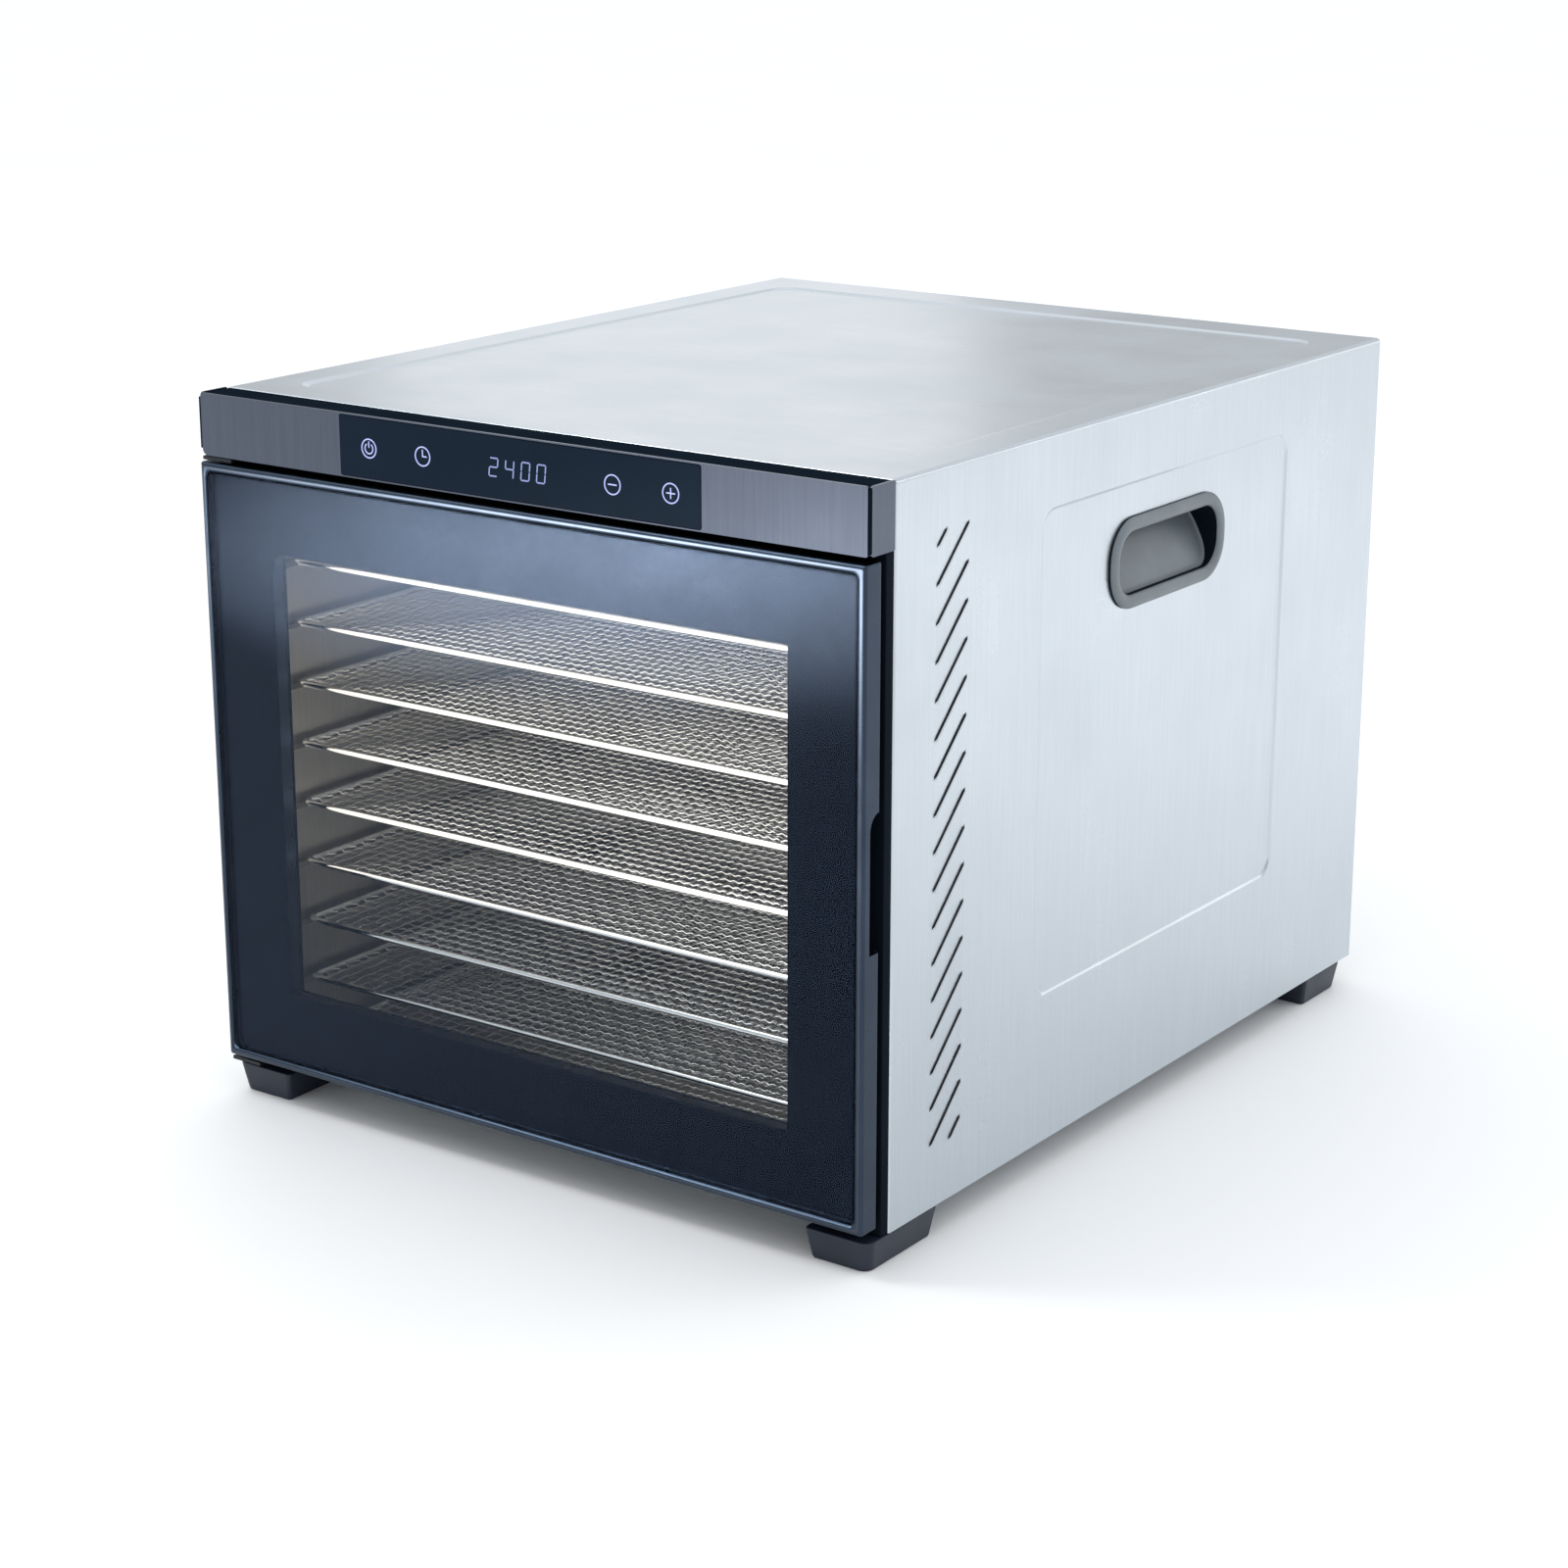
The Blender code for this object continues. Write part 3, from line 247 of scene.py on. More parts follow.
def rounded(low, high, radius, steps=6):
    """A rectangle's outline with rounded corners; radius is one value or one per corner."""
    radii = radius if isinstance(radius, tuple) else (radius,) * 4
    corners = ((low[0], low[1]), (high[0], low[1]), (high[0], high[1]), (low[0], high[1]))
    inward = ((1, 1), (-1, 1), (-1, -1), (1, -1))
    outline = []
    for index in range(4):
        centre = tuple(corners[index][k] + inward[index][k] * radii[index] for k in (0, 1))
        start = 180 + 90 * index
        outline += arc(centre, radii[index], start, start + 90, steps)
    return outline


def rectangle(low, high):
    """A plain rectangle's outline."""
    return [(low[0], low[1]), (high[0], low[1]), (high[0], high[1]), (low[0], high[1])]


def bar(centre, half_width, half_height):
    """A rectangle's outline round its centre."""
    return rectangle((centre[0] - half_width, centre[1] - half_height),
                     (centre[0] + half_width, centre[1] + half_height))


def front_box(low, high, inset=0.0):
    """A box's low and high corners as seen from the front, each moved inwards."""
    return (low.x + inset, low.z + inset), (high.x - inset, high.z - inset)


def grown(low, high, grow):
    """A rectangle's low and high corners, each moved outwards."""
    return tuple(value - grow for value in low), tuple(value + grow for value in high)


def round_inset(depth, radius):
    """How far a quarter-round edge of this radius lies inside its side, at a depth below its face."""
    if depth >= radius:
        return 0.0
    return radius - math.sqrt(radius ** 2 - (radius - depth) ** 2)


def smooth(share):
    """A share from 0 to 1, eased at both ends."""
    share = min(max(share, 0.0), 1.0)
    return share * share * (3 - 2 * share)


def add_rows(shape, rows, closed=True, looped=False):
    """Faces between rows of points; closed joins each row's ends, looped the last row to the first."""
    made = [[shape.verts.new(point) for point in row] for row in rows]
    pairs = list(zip(made, made[1:]))
    if looped:
        pairs.append((made[-1], made[0]))
    for first, second in pairs:
        count = len(first)
        for index in range(count if closed else count - 1):
            after = (index + 1) % count
            shape.faces.new((first[index], first[after], second[after], second[index]))
    return made


def add_fill(shape, loops, normal):
    """A flat face inside the first loop, with the other loops as holes."""
    edges = []
    for loop in loops:
        corners = [shape.verts.new(point) for point in loop]
        edges += [shape.edges.new(pair) for pair in zip(corners, corners[1:] + corners[:1])]
    bmesh.ops.triangle_fill(shape, edges=edges, use_beauty=True, normal=normal)


def loft(loops, looped=False, shape=None):
    """A closed solid through loops of equal length, capped, or joined end to start."""
    shape = shape or bmesh.new()
    rows = add_rows(shape, loops, looped=looped)
    if not looped:
        shape.faces.new(rows[0])
        shape.faces.new(rows[-1])
    return shape


def plate(axis, low, high, outline, holes=(), shape=None):
    """An outline, with holes if any, as a plate between two distances along an axis."""
    shape = shape or bmesh.new()
    if not holes:
        return loft([level(axis, low, outline), level(axis, high, outline)], shape=shape)
    for along in (low, high):
        add_fill(shape, [level(axis, along, loop) for loop in (outline, *holes)], AXES[axis])
    for loop in (outline, *holes):
        add_rows(shape, [level(axis, low, loop), level(axis, high, loop)])
    return shape


def turned(axis, centre, profile, steps=24):
    """A solid of (radius, along) pairs turned about an axis through centre."""
    return loft([level(axis, along, circle(centre, radius, steps)) for radius, along in profile])


def to_mesh(name, shape):
    """A mesh from a shape, which is freed."""
    mesh = bpy.data.meshes.new(name)
    shape.to_mesh(mesh)
    shape.free()
    return mesh


def add_object(name, data):
    """An object for a mesh, light or camera, in the scene."""
    piece = bpy.data.objects.new(name, data)
    bpy.context.scene.collection.objects.link(piece)
    return piece


def face_outwards(shape):
    """Turn an open sheet's faces over if its top looks down."""
    highest = max(shape.faces, key=lambda face: face.calc_center_median().z)
    if highest.normal.z < 0:
        bmesh.ops.reverse_faces(shape, faces=shape.faces)


def add_piece(name, shape, materials, body="root", stands_for=(), bevel=0.0, sheet=0.0,
              crease=CREASE, segments=2):
    """A finished piece that rides on a body and stands for CAD nodes, if any are named.

    A sheet is an open surface with a thickness, whose back and edges take the last material.
    """
    bmesh.ops.remove_doubles(shape, verts=shape.verts, dist=1e-6)
    bmesh.ops.recalc_face_normals(shape, faces=shape.faces)
    if sheet:
        face_outwards(shape)
    mesh = to_mesh(name, shape)
    for material in materials:
        mesh.materials.append(material)
    mesh.shade_smooth()
    if not bevel:
        mesh.set_sharp_from_angle(angle=math.radians(crease))
    piece = add_object(name, mesh)
    if sheet:
        thicken(piece, sheet)
    soften(piece, bevel, segments)
    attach(piece, body)
    if stands_for:
        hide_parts(*stands_for)
    return piece


def thicken(piece, sheet):
    """Thickness behind an open surface, with the last material on its back and its cut edges."""
    thick = piece.modifiers.new("sheet", "SOLIDIFY")
    thick.thickness = sheet
    thick.offset = -1
    thick.use_even_offset = True
    thick.material_offset = len(piece.data.materials) - 1
    thick.material_offset_rim = len(piece.data.materials) - 1


def soften(piece, bevel, segments=2):
    """Rounded edges, and shading that keeps the flat faces flat."""
    if bevel:
        edge = piece.modifiers.new("edges", "BEVEL")
        edge.width = bevel
        edge.segments = segments
        edge.limit_method = "ANGLE"
        edge.angle_limit = math.radians(40)
        edge.use_clamp_overlap = True
    shading = piece.modifiers.new("shading", "WEIGHTED_NORMAL")
    shading.keep_sharp = not bevel


def carve(piece, shapes, crease):
    """Cut shapes from a piece, before its other modifiers, and shade it again."""
    others = list(piece.modifiers)
    for step in others:
        step.show_viewport = False
    for shape in shapes:
        bmesh.ops.recalc_face_normals(shape, faces=shape.faces)
        cutter = add_object("cutter", to_mesh("cutter", shape))
        cut = piece.modifiers.new("cut", "BOOLEAN")
        cut.object = cutter
        cut.solver = "EXACT"
        graph = bpy.context.evaluated_depsgraph_get()
        result = bpy.data.meshes.new_from_object(piece.evaluated_get(graph))
        piece.modifiers.remove(cut)
        piece.data = result
        bpy.data.objects.remove(cutter)
    for step in others:
        step.show_viewport = True
    piece.data.shade_smooth()
    piece.data.set_sharp_from_angle(angle=math.radians(crease))


# ---------------------------------------------------------------- materials

def principled(name, colour, roughness, metallic=0.0, plain=None):
    """A new material and its shader, with plain values on the shader's own sockets."""
    material = bpy.data.materials.new(name)
    material.use_nodes = True
    shader = material.node_tree.nodes["Principled BSDF"]
    shader.inputs["Base Color"].default_value = (*colour, 1.0)
    shader.inputs["Roughness"].default_value = roughness
    shader.inputs["Metallic"].default_value = metallic
    for socket, value in (plain or {}).items():
        shader.inputs[socket].default_value = value
    return material, shader


def noise(shader, scale, stretch=(1, 1, 1), detail=4.0, rough=0.55):
    """Noise in object space, finer along the axes with more stretch."""
    tree = shader.id_data
    place = tree.nodes.new("ShaderNodeTexCoord")
    mapping = tree.nodes.new("ShaderNodeMapping")
    mapping.inputs["Scale"].default_value = stretch
    texture = tree.nodes.new("ShaderNodeTexNoise")
    texture.inputs["Scale"].default_value = scale
    texture.inputs["Detail"].default_value = detail
    texture.inputs["Roughness"].default_value = rough
    tree.links.new(place.outputs["Object"], mapping.inputs["Vector"])
    tree.links.new(mapping.outputs["Vector"], texture.inputs["Vector"])
    return texture.outputs["Fac"]


def vary(shader, socket, factor, low, high):
    """Drive a socket from low to high with a noise."""
    tree = shader.id_data
    spread = tree.nodes.new("ShaderNodeMapRange")
    spread.inputs["From Min"].default_value = 0.3
    spread.inputs["From Max"].default_value = 0.7
    spread.inputs["To Min"].default_value = low
    spread.inputs["To Max"].default_value = high
    tree.links.new(factor, spread.inputs["Value"])
    tree.links.new(spread.outputs["Result"], shader.inputs[socket])


def tint(shader, factor, first, second):
    """Drive the base colour between two colours with a noise."""
    tree = shader.id_data
    ramp = tree.nodes.new("ShaderNodeValToRGB")
    ramp.color_ramp.elements[0].position = 0.3
    ramp.color_ramp.elements[1].position = 0.7
    ramp.color_ramp.elements[0].color = (*first, 1.0)
    ramp.color_ramp.elements[1].color = (*second, 1.0)
    tree.links.new(factor, ramp.inputs["Fac"])
    tree.links.new(ramp.outputs["Color"], shader.inputs["Base Color"])


def bump(shader, height, depth):
    """Relief of a real depth, in metres, from a noise."""
    tree = shader.id_data
    relief = tree.nodes.new("ShaderNodeBump")
    relief.inputs["Strength"].default_value = 1.0
    relief.inputs["Distance"].default_value = depth
    tree.links.new(height, relief.inputs["Height"])
    tree.links.new(relief.outputs["Normal"], shader.inputs["Normal"])


def scaled(colour, factor):
    """A colour made lighter or darker."""
    return tuple(channel * factor for channel in colour)


def brushed_metal(name, colour, roughness, stretch, contrast=0.06, depth=0.004 * MM):
    """Metal with long fine streaks across the axis of most stretch."""
    material, shader = principled(name, colour, roughness, metallic=1.0)
    streaks = noise(shader, 700, stretch, detail=4.0, rough=0.7)
    tint(shader, streaks, scaled(colour, 1 - contrast), scaled(colour, 1 + contrast / 2))
    vary(shader, "Roughness", noise(shader, 14, detail=5.0), roughness - 0.05, roughness + 0.06)
    bump(shader, streaks, depth)
    return material


def moulded(name, colour, roughness, grain=1600, depth=0.02 * MM, plain=None):
    """Plastic with a fine moulded grain and faint handling marks."""
    material, shader = principled(name, colour, roughness, plain=plain)
    tint(shader, noise(shader, 22, detail=4.0), scaled(colour, 0.88), scaled(colour, 1.12))
    vary(shader, "Roughness", noise(shader, 55, detail=5.0), roughness - 0.05, roughness + 0.07)
    bump(shader, noise(shader, grain, detail=2.0), depth)
    return material


def heater_sheath():
    """Steel sheath with heat colours that change along it."""
    material, shader = principled("heater_sheath", (0.22, 0.18, 0.15), 0.45, metallic=1.0)
    tint(shader, noise(shader, 28, detail=3.0), (0.26, 0.20, 0.14), (0.13, 0.12, 0.17))
    vary(shader, "Roughness", noise(shader, 300), 0.36, 0.55)
    bump(shader, noise(shader, 900), 0.01 * MM)
    return material


def chrome_wire():
    """Bright electropolished wire, slightly dulled in places."""
    material, shader = principled("chrome_wire", (0.86, 0.86, 0.86), 0.12, metallic=1.0)
    vary(shader, "Roughness", noise(shader, 160, detail=3.0), 0.07, 0.2)
    return material


def clear_glass():
    """A clear pane: what lies behind shows through, under a faint cool reflection."""
    material = bpy.data.materials.new("door_glass")
    material.use_nodes = True
    tree = material.node_tree
    tree.nodes.clear()
    result = tree.nodes.new("ShaderNodeOutputMaterial")
    mix = tree.nodes.new("ShaderNodeMixShader")
    clear = tree.nodes.new("ShaderNodeBsdfTransparent")
    mirror = tree.nodes.new("ShaderNodeBsdfGlossy")
    slant = tree.nodes.new("ShaderNodeLayerWeight")
    clear.inputs["Color"].default_value = (0.96, 0.975, 0.98, 1.0)
    mirror.inputs["Color"].default_value = (0.105, 0.133, 0.19, 1.0)
    slant.inputs["Blend"].default_value = 0.12
    vary(mirror, "Roughness", noise(mirror, 9, detail=3.0), 0.12, 0.18)
    tree.links.new(slant.outputs["Facing"], mix.inputs["Fac"])
    tree.links.new(clear.outputs["BSDF"], mix.inputs[1])
    tree.links.new(mirror.outputs["BSDF"], mix.inputs[2])
    tree.links.new(mix.outputs["Shader"], result.inputs["Surface"])
    return material


def glowing(name, colour, strength):
    """A lit mark behind the touch panel."""
    plain = {"Emission Color": (*colour, 1.0), "Emission Strength": strength}
    material, shader = principled(name, scaled(colour, 0.3), 0.4, plain=plain)
    vary(shader, "Roughness", noise(shader, 900), 0.35, 0.5)
    return material


ALONG_X = (0.02, 1.0, 0.02)
UPRIGHT = (1.0, 1.0, 0.02)

STEEL = brushed_metal("brushed_steel", (0.56, 0.605, 0.645), 0.30, ALONG_X, contrast=0.05)
# Painted shade: near-black steel for the shell sheet's back and cut edges, which show through the
# louvres, and for the hinge brackets in the door's dark gap
PAINTED_SHADE_STEEL = brushed_metal("painted_shade_steel", (0.05, 0.055, 0.06), 0.5, ALONG_X)
LINER = brushed_metal("liner_steel", (0.56, 0.53, 0.48), 0.34, ALONG_X, contrast=0.1)
GUNMETAL = brushed_metal("gunmetal", (0.105, 0.120, 0.155), 0.26, UPRIGHT, contrast=0.1)
MOTOR = brushed_metal("motor_steel", (0.46, 0.47, 0.49), 0.38, (1, 1, 1), contrast=0.08)
FAN = brushed_metal("fan_aluminium", (0.72, 0.73, 0.74), 0.36, (1, 1, 1), contrast=0.05)
CHROME = chrome_wire()
BLACK = moulded("black_plastic", (0.006, 0.010, 0.016), 0.4, depth=0.006 * MM,
                plain={"Specular IOR Level": 0.01})
SHADED_BLACK = moulded("shaded_black", (0.006, 0.011, 0.018), 0.5, depth=0.006 * MM,
                       plain={"Specular IOR Level": 0.0})
DOOR_BLACK = moulded("door_black", (0.038, 0.054, 0.080), 0.30, depth=0.003 * MM,
                     plain={"Metallic": 1.0})
# Painted highlight: a lighter, glossier copy of the door's metal, put on the flat front faces round the
# glass for the bright line along the lip
DOOR_LIP_HIGHLIGHT = moulded("door_lip_painted_highlight", (0.062, 0.074, 0.096), 0.24, depth=0.003 * MM,
                    plain={"Metallic": 1.0})
GREY = moulded("grey_plastic", (0.155, 0.183, 0.202), 0.40, depth=0.02 * MM)
FOOT = moulded("foot_plastic", (0.015, 0.021, 0.038), 0.38, depth=0.02 * MM,
               plain={"Specular IOR Level": 0.35})
GLASS = clear_glass()
PRINT = moulded("door_print", (0.003, 0.006, 0.013), 0.5, depth=0.0005 * MM,
                plain={"Specular IOR Level": 0.0})
PANEL = moulded("control_glass", (0.004, 0.010, 0.022), 0.14, grain=60, depth=0.001 * MM,
                plain={"Specular IOR Level": 0.12, "Specular Tint": (0.55, 0.78, 1.0, 1.0)})
SEAL = moulded("seal_rubber", (0.022, 0.022, 0.024), 0.7)
BOARD = moulded("circuit_board", (0.02, 0.14, 0.055), 0.42, grain=500)
DISPLAY = moulded("display", (0.012, 0.012, 0.02), 0.3)
HEATER = heater_sheath()
CERAMIC = moulded("ceramic", (0.78, 0.75, 0.68), 0.55, grain=900, depth=0.03 * MM)
CABLE = moulded("cable_grey", (0.26, 0.27, 0.29), 0.55)
MAGNET = moulded("magnet", (0.07, 0.07, 0.08), 0.42, plain={"Metallic": 0.7})
KEY_LIGHT = glowing("key_light", (0.44, 0.48, 0.88), 1.1)
DIGIT_LIGHT = glowing("digit_light", (0.27, 0.33, 0.62), 0.9)


# ---------------------------------------------------------------- cabinet

def shell_profile(inset):
    """The cabinet's folded outline from the front, moved inwards."""
    centre = (HALF - BEND, TOP - BEND)
    radius = BEND - inset
    outline = [(inset - HALF, FLOOR)]
    outline += arc((-centre[0], centre[1]), radius, 180, 90, 8)
    outline += arc(centre, radius, 90, 0, 8)
    outline.append((HALF - inset, FLOOR))
    return outline


def top_step(grow):
    """The outline of the pressed step in the top."""
    low = (TOP_MARGIN - HALF, FRONT + TOP_MARGIN)
    high = (HALF - TOP_MARGIN, FRONT + TOP_MARGIN + TOP_STEP_LENGTH)
    return rounded(*grown(low, high, grow), TOP_STEP_RADIUS + grow, steps=10)


def side_step(grow):
    """The outline of the pressed step in each side."""
    return rounded(*grown(SIDE_STEP_LOW, SIDE_STEP_HIGH, grow), SIDE_STEP_RADIUS + grow, steps=10)


def cup_outline(grow):
    """The rounded outline of a handle's cup, larger by grow on every side."""
    return rounded(*grown(CUP_LOW, CUP_HIGH, grow), CUP_RADIUS + grow, steps=10)


def add_step(shape, outline, place, width):
    """A soft pressed step between a panel and the recess inside it."""
    steps = 8
    rows = []
    for index in range(steps + 1):
        share = index / steps
        depth = STEP_DEPTH * smooth(share)
        rows.append([place(point, depth) for point in outline(width * (0.5 - share))])
    add_rows(shape, rows)


def louvre_spans():
    """The two ends of each louvre's cut, in depth and height."""
    slope = LOUVRE_RISE / LOUVRE_SPAN
    spans = []
    for index in range(LOUVRE_COUNT):
        top = LOUVRE_HIGH + LOUVRE_PITCH * (1 - index)
        foot = top - LOUVRE_RISE
        low = max(foot, LOUVRE_LOW)
        high = min(top, LOUVRE_HIGH)
        spans.append(((LOUVRE_FRONT + (low - foot) / slope, low),
                      (LOUVRE_FRONT + (high - foot) / slope, high)))
    return spans


def louvre_rows(start, end):
    """Rows of (across, up, depth) from a louvre's foot to the free edge that it raises over its cut."""
    first = Vector(start)
    along = Vector(end) - first
    length = along.length
    along.normalize()
    aside = Vector((along.y, -along.x))
    reach = LOUVRE_WIDTH
    edge = arc((reach, 0.0), reach, 180, 270, 5)
    edge += arc((length - reach, 0.0), reach, 270, 360, 5)
    rows = []
    steps = 5
    for index in range(steps + 1):
        share = index / steps
        row = []
        for run, away in edge:
            ease = smooth(min(run, length - run) / (1.5 * reach))
            point = first + along * run - aside * away * (1 - share)
            row.append((point.x, point.y, -LOUVRE_LIFT * ease * math.sin(share * math.pi / 2)))
        rows.append(row)
    return rows


def add_side(shape, side):
    """One side of the cabinet: panel, louvres, pressed step and the handle's hole."""
    def place(point, depth=0.0):
        return (side * (HALF - depth), point[0], point[1])

    panel = rectangle((FRONT + EDGE_ROLL, FLOOR), (BACK, TOP - BEND))
    loops = [[place(point) for point in panel]]
    loops.append([place(point) for point in side_step(SIDE_STEP_WIDTH / 2)])
    for start, end in louvre_spans():
        rows = louvre_rows(start, end)
        loops.append([place(point) for point in rows[0]])
        add_rows(shape, [[place(point, point[2]) for point in row] for row in rows], closed=False)
    add_fill(shape, loops, AXES["X"])
    add_step(shape, side_step, place, SIDE_STEP_WIDTH)
    recess = [place(point, STEP_DEPTH) for point in side_step(-SIDE_STEP_WIDTH / 2)]
    hole = [place(point, STEP_DEPTH) for point in cup_outline(CUP_WALL + HOLE_GAP)]
    add_fill(shape, [recess, hole], AXES["X"])


def make_shell():
    """The folded sheet with its rolled front edge, pressed steps, louvres and handle holes."""
    shape = bmesh.new()
    rows = []
    steps = 5
    for index in range(steps + 1):
        angle = math.pi / 2 * index / steps
        inset = EDGE_ROLL * (1 - math.cos(angle))
        rows.append(level("Y", FRONT + EDGE_ROLL * (1 - math.sin(angle)), shell_profile(inset)))
    rows.append(level("Y", FRONT, shell_profile(EDGE_RETURN)))
    add_rows(shape, rows, closed=False)
    profile = shell_profile(0.0)
    half = len(profile) // 2
    for bend in (profile[1:half], profile[half:-1]):
        add_rows(shape, [level("Y", FRONT + EDGE_ROLL, bend), level("Y", BACK, bend)], closed=False)

    def place(point, depth=0.0):
        return (point[0], point[1], TOP - depth)

    panel = rectangle((BEND - HALF, FRONT + EDGE_ROLL), (HALF - BEND, BACK))
    outer = [[place(point) for point in loop] for loop in (panel, top_step(TOP_STEP_WIDTH / 2))]
    add_fill(shape, outer, AXES["Z"])
    add_step(shape, top_step, place, TOP_STEP_WIDTH)
    add_fill(shape, [[place(point, STEP_DEPTH) for point in top_step(-TOP_STEP_WIDTH / 2)]], AXES["Z"])
    for side in (-1, 1):
        add_side(shape, side)
    # The sheet's back and cut edges take the near-black steel of painted shade, so the louvre gaps and
    # the inside look dark
    add_piece("cabinet_shell", shape, [STEEL, PAINTED_SHADE_STEEL], stands_for=["outer_shell"],
              sheet=SHEET, crease=60)


def cup_floor(side, grow, lift):
    """A loop along a handle cup's sloped floor, raised off it by a lift."""
    loop = []
    for across, up in cup_outline(grow):
        share = (up - CUP_LOW[1]) / (CUP_HIGH[1] - CUP_LOW[1])
        depth = CUP_SHALLOW + (CUP_DEEP - CUP_SHALLOW) * share
        loop.append((side * (HALF - depth + lift), across, up))
    return loop


def make_handle(side, hand):
    """A moulded cup with a rolled rim and a sloped floor, open to the outside."""
    loops = [cup_floor(side, CUP_WALL, -CUP_WALL)]
    for grow in (CUP_WALL, RIM_WIDTH):
        loops.append(level("X", side * CUP_SEAT, cup_outline(grow)))
    steps = 12
    for index in range(steps + 1):
        angle = math.pi * index / steps
        grow = RIM_WIDTH / 2 * (1 + math.cos(angle))
        loops.append(level("X", side * (CUP_MOUTH + RIM_RISE * math.sin(angle)), cup_outline(grow)))
    steps = 5
    for index in range(steps + 1):
        angle = math.pi / 2 * index / steps
        inset = CUP_FILLET * (1 - math.cos(angle))
        loops.append(cup_floor(side, -inset, CUP_FILLET * (1 - math.sin(angle))))
    add_piece("handle_cup_" + hand, loft(loops), [GREY], stands_for=["handle_" + hand])


def make_cup_shade(side, hand):
    """Painted shade: a near-black sheet over a handle cup's walls, for the shade deep in the cup."""
    loops = [level("X", side * CUP_MOUTH, cup_outline(WELL_SINK)),
             cup_floor(side, WELL_SINK, WELL_LIFT),
             cup_floor(side, -WELL_WALL, WELL_LIFT),
             level("X", side * CUP_MOUTH, cup_outline(-WELL_WALL))]
    add_piece("handle_shade_sheet_" + hand, loft(loops, looped=True), [BLACK])


def make_foot(name):
    """A drafted plastic foot with soft edges."""
    low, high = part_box(name)
    corners = [FOOT_CORNER] * 4
    if low.y < 0:
        corners[1 if low.x > 0 else 0] = FOOT_FRONT_CORNER
    levels = [(low.z, FOOT_DRAFT + FOOT_EDGE), (low.z + 0.35 * FOOT_EDGE, FOOT_DRAFT + 0.3 * FOOT_EDGE),
              (low.z + FOOT_EDGE, FOOT_DRAFT), (high.z - FOOT_EDGE, FOOT_TOP_INSET),
              (high.z - 0.35 * FOOT_EDGE, 1.2 * FOOT_TOP_INSET), (high.z, FOOT_EDGE)]
    loops = []
    for height, inset in levels:
        outline = rounded(*grown((low.x, low.y), (high.x, high.y), -inset), tuple(corners))
        loops.append(level("Z", height, outline))
    add_piece("plastic_" + name, loft(loops), [FOOT], stands_for=[name])


def make_screw(name):
    """A pan-head screw with a cross recess."""
    low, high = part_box(name)
    centre = ((low.x + high.x) / 2, (low.z + high.z) / 2)
    head = (high.x - low.x) / 2
    seat = high.y - SCREW_HEAD_HEIGHT
    profile = [(SCREW_SHANK, low.y), (SCREW_SHANK, seat)]
    profile += [(head * wide, seat + SCREW_HEAD_HEIGHT * tall) for wide, tall in SCREW_HEAD]
    screw = add_piece("cross_" + name, turned("Y", centre, profile), [MOTOR], stands_for=[name])
    arms = (bar(centre, CROSS_REACH, CROSS_ARM), bar(centre, CROSS_ARM, CROSS_REACH))
    cuts = [plate("Y", high.y - CROSS_DEPTH, high.y + CUT_CLEAR, arm) for arm in arms]
    carve(screw, cuts, crease=CREASE)


# ---------------------------------------------------------------- drying chamber

def add_wire(shape, points):
    """A wire through points that run mainly along X or along Y."""
    along_x = abs(points[-1][0] - points[0][0]) > abs(points[-1][1] - points[0][1])
    rows = []
    for x, y, z in points:
        row = []
        for across, up in circle((0.0, 0.0), WIRE_RADIUS, WIRE_SIDES):
            row.append((x, y + across, z + up) if along_x else (x + across, y, z + up))
        rows.append(row)
    loft(rows, shape=shape)


def tray_mesh():
    """A rod frame filled with woven wire; the wires along X are crimped between their crossings too."""
    shape = bmesh.new()
    middle = (TRAY_LOW + TRAY_HIGH) / 2
    half = Vector((TRAY_HIGH.x - middle.x - ROD_RADIUS, TRAY_HIGH.y - middle.y - ROD_RADIUS))
    loops = []
    sides = 14
    for index in range(sides):
        angle = 2 * math.pi * index / sides
        grow = ROD_RADIUS * math.cos(angle)
        corners = grown((-half.x, middle.y - half.y), (half.x, middle.y + half.y), grow)
        outline = rounded(*corners, ROD_CORNER + grow, steps=8)
        loops.append(level("Z", ROD_RADIUS * math.sin(angle), outline))
    loft(loops, looped=True, shape=shape)
    pitch_x = 2 * half.x / CELLS_ACROSS
    pitch_y = 2 * half.y / CELLS_DEEP
    for row in range(1, CELLS_DEEP):
        y = middle.y - half.y + row * pitch_y
        points = []
        for crimp in range(CELLS_ACROSS * CRIMPS_PER_CELL + 1):
            sign = (-1) ** (crimp + row)
            points.append((-half.x + crimp * pitch_x / CRIMPS_PER_CELL, y, sign * WIRE_CRIMP))
        add_wire(shape, points)
    for column in range(1, CELLS_ACROSS):
        x = -half.x + column * pitch_x
        points = []
        for crossing in range(CELLS_DEEP + 1):
            sign = -(-1) ** (CRIMPS_PER_CELL * column + crossing)
            points.append((x, middle.y - half.y + crossing * pitch_y, sign * WIRE_CRIMP))
        add_wire(shape, points)
    bmesh.ops.recalc_face_normals(shape, faces=shape.faces)
    mesh = to_mesh("wire_tray", shape)
    mesh.materials.append(CHROME)
    mesh.shade_smooth()
    return mesh


def make_trays():
    """Ten trays that share one mesh."""
    mesh = tray_mesh()
    for index in range(1, TRAY_COUNT + 1):
        name = "tray_%d" % index
        low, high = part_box(name)
        tray = add_object("wire_" + name, mesh)
        tray.location.z = (low.z + high.z) / 2
        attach(tray, "root")
        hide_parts(name)


# ---------------------------------------------------------------- door

def frame_joint(name):
    """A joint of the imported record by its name."""
    return next(joint for joint in frame["joints"] if joint["name"] == name)


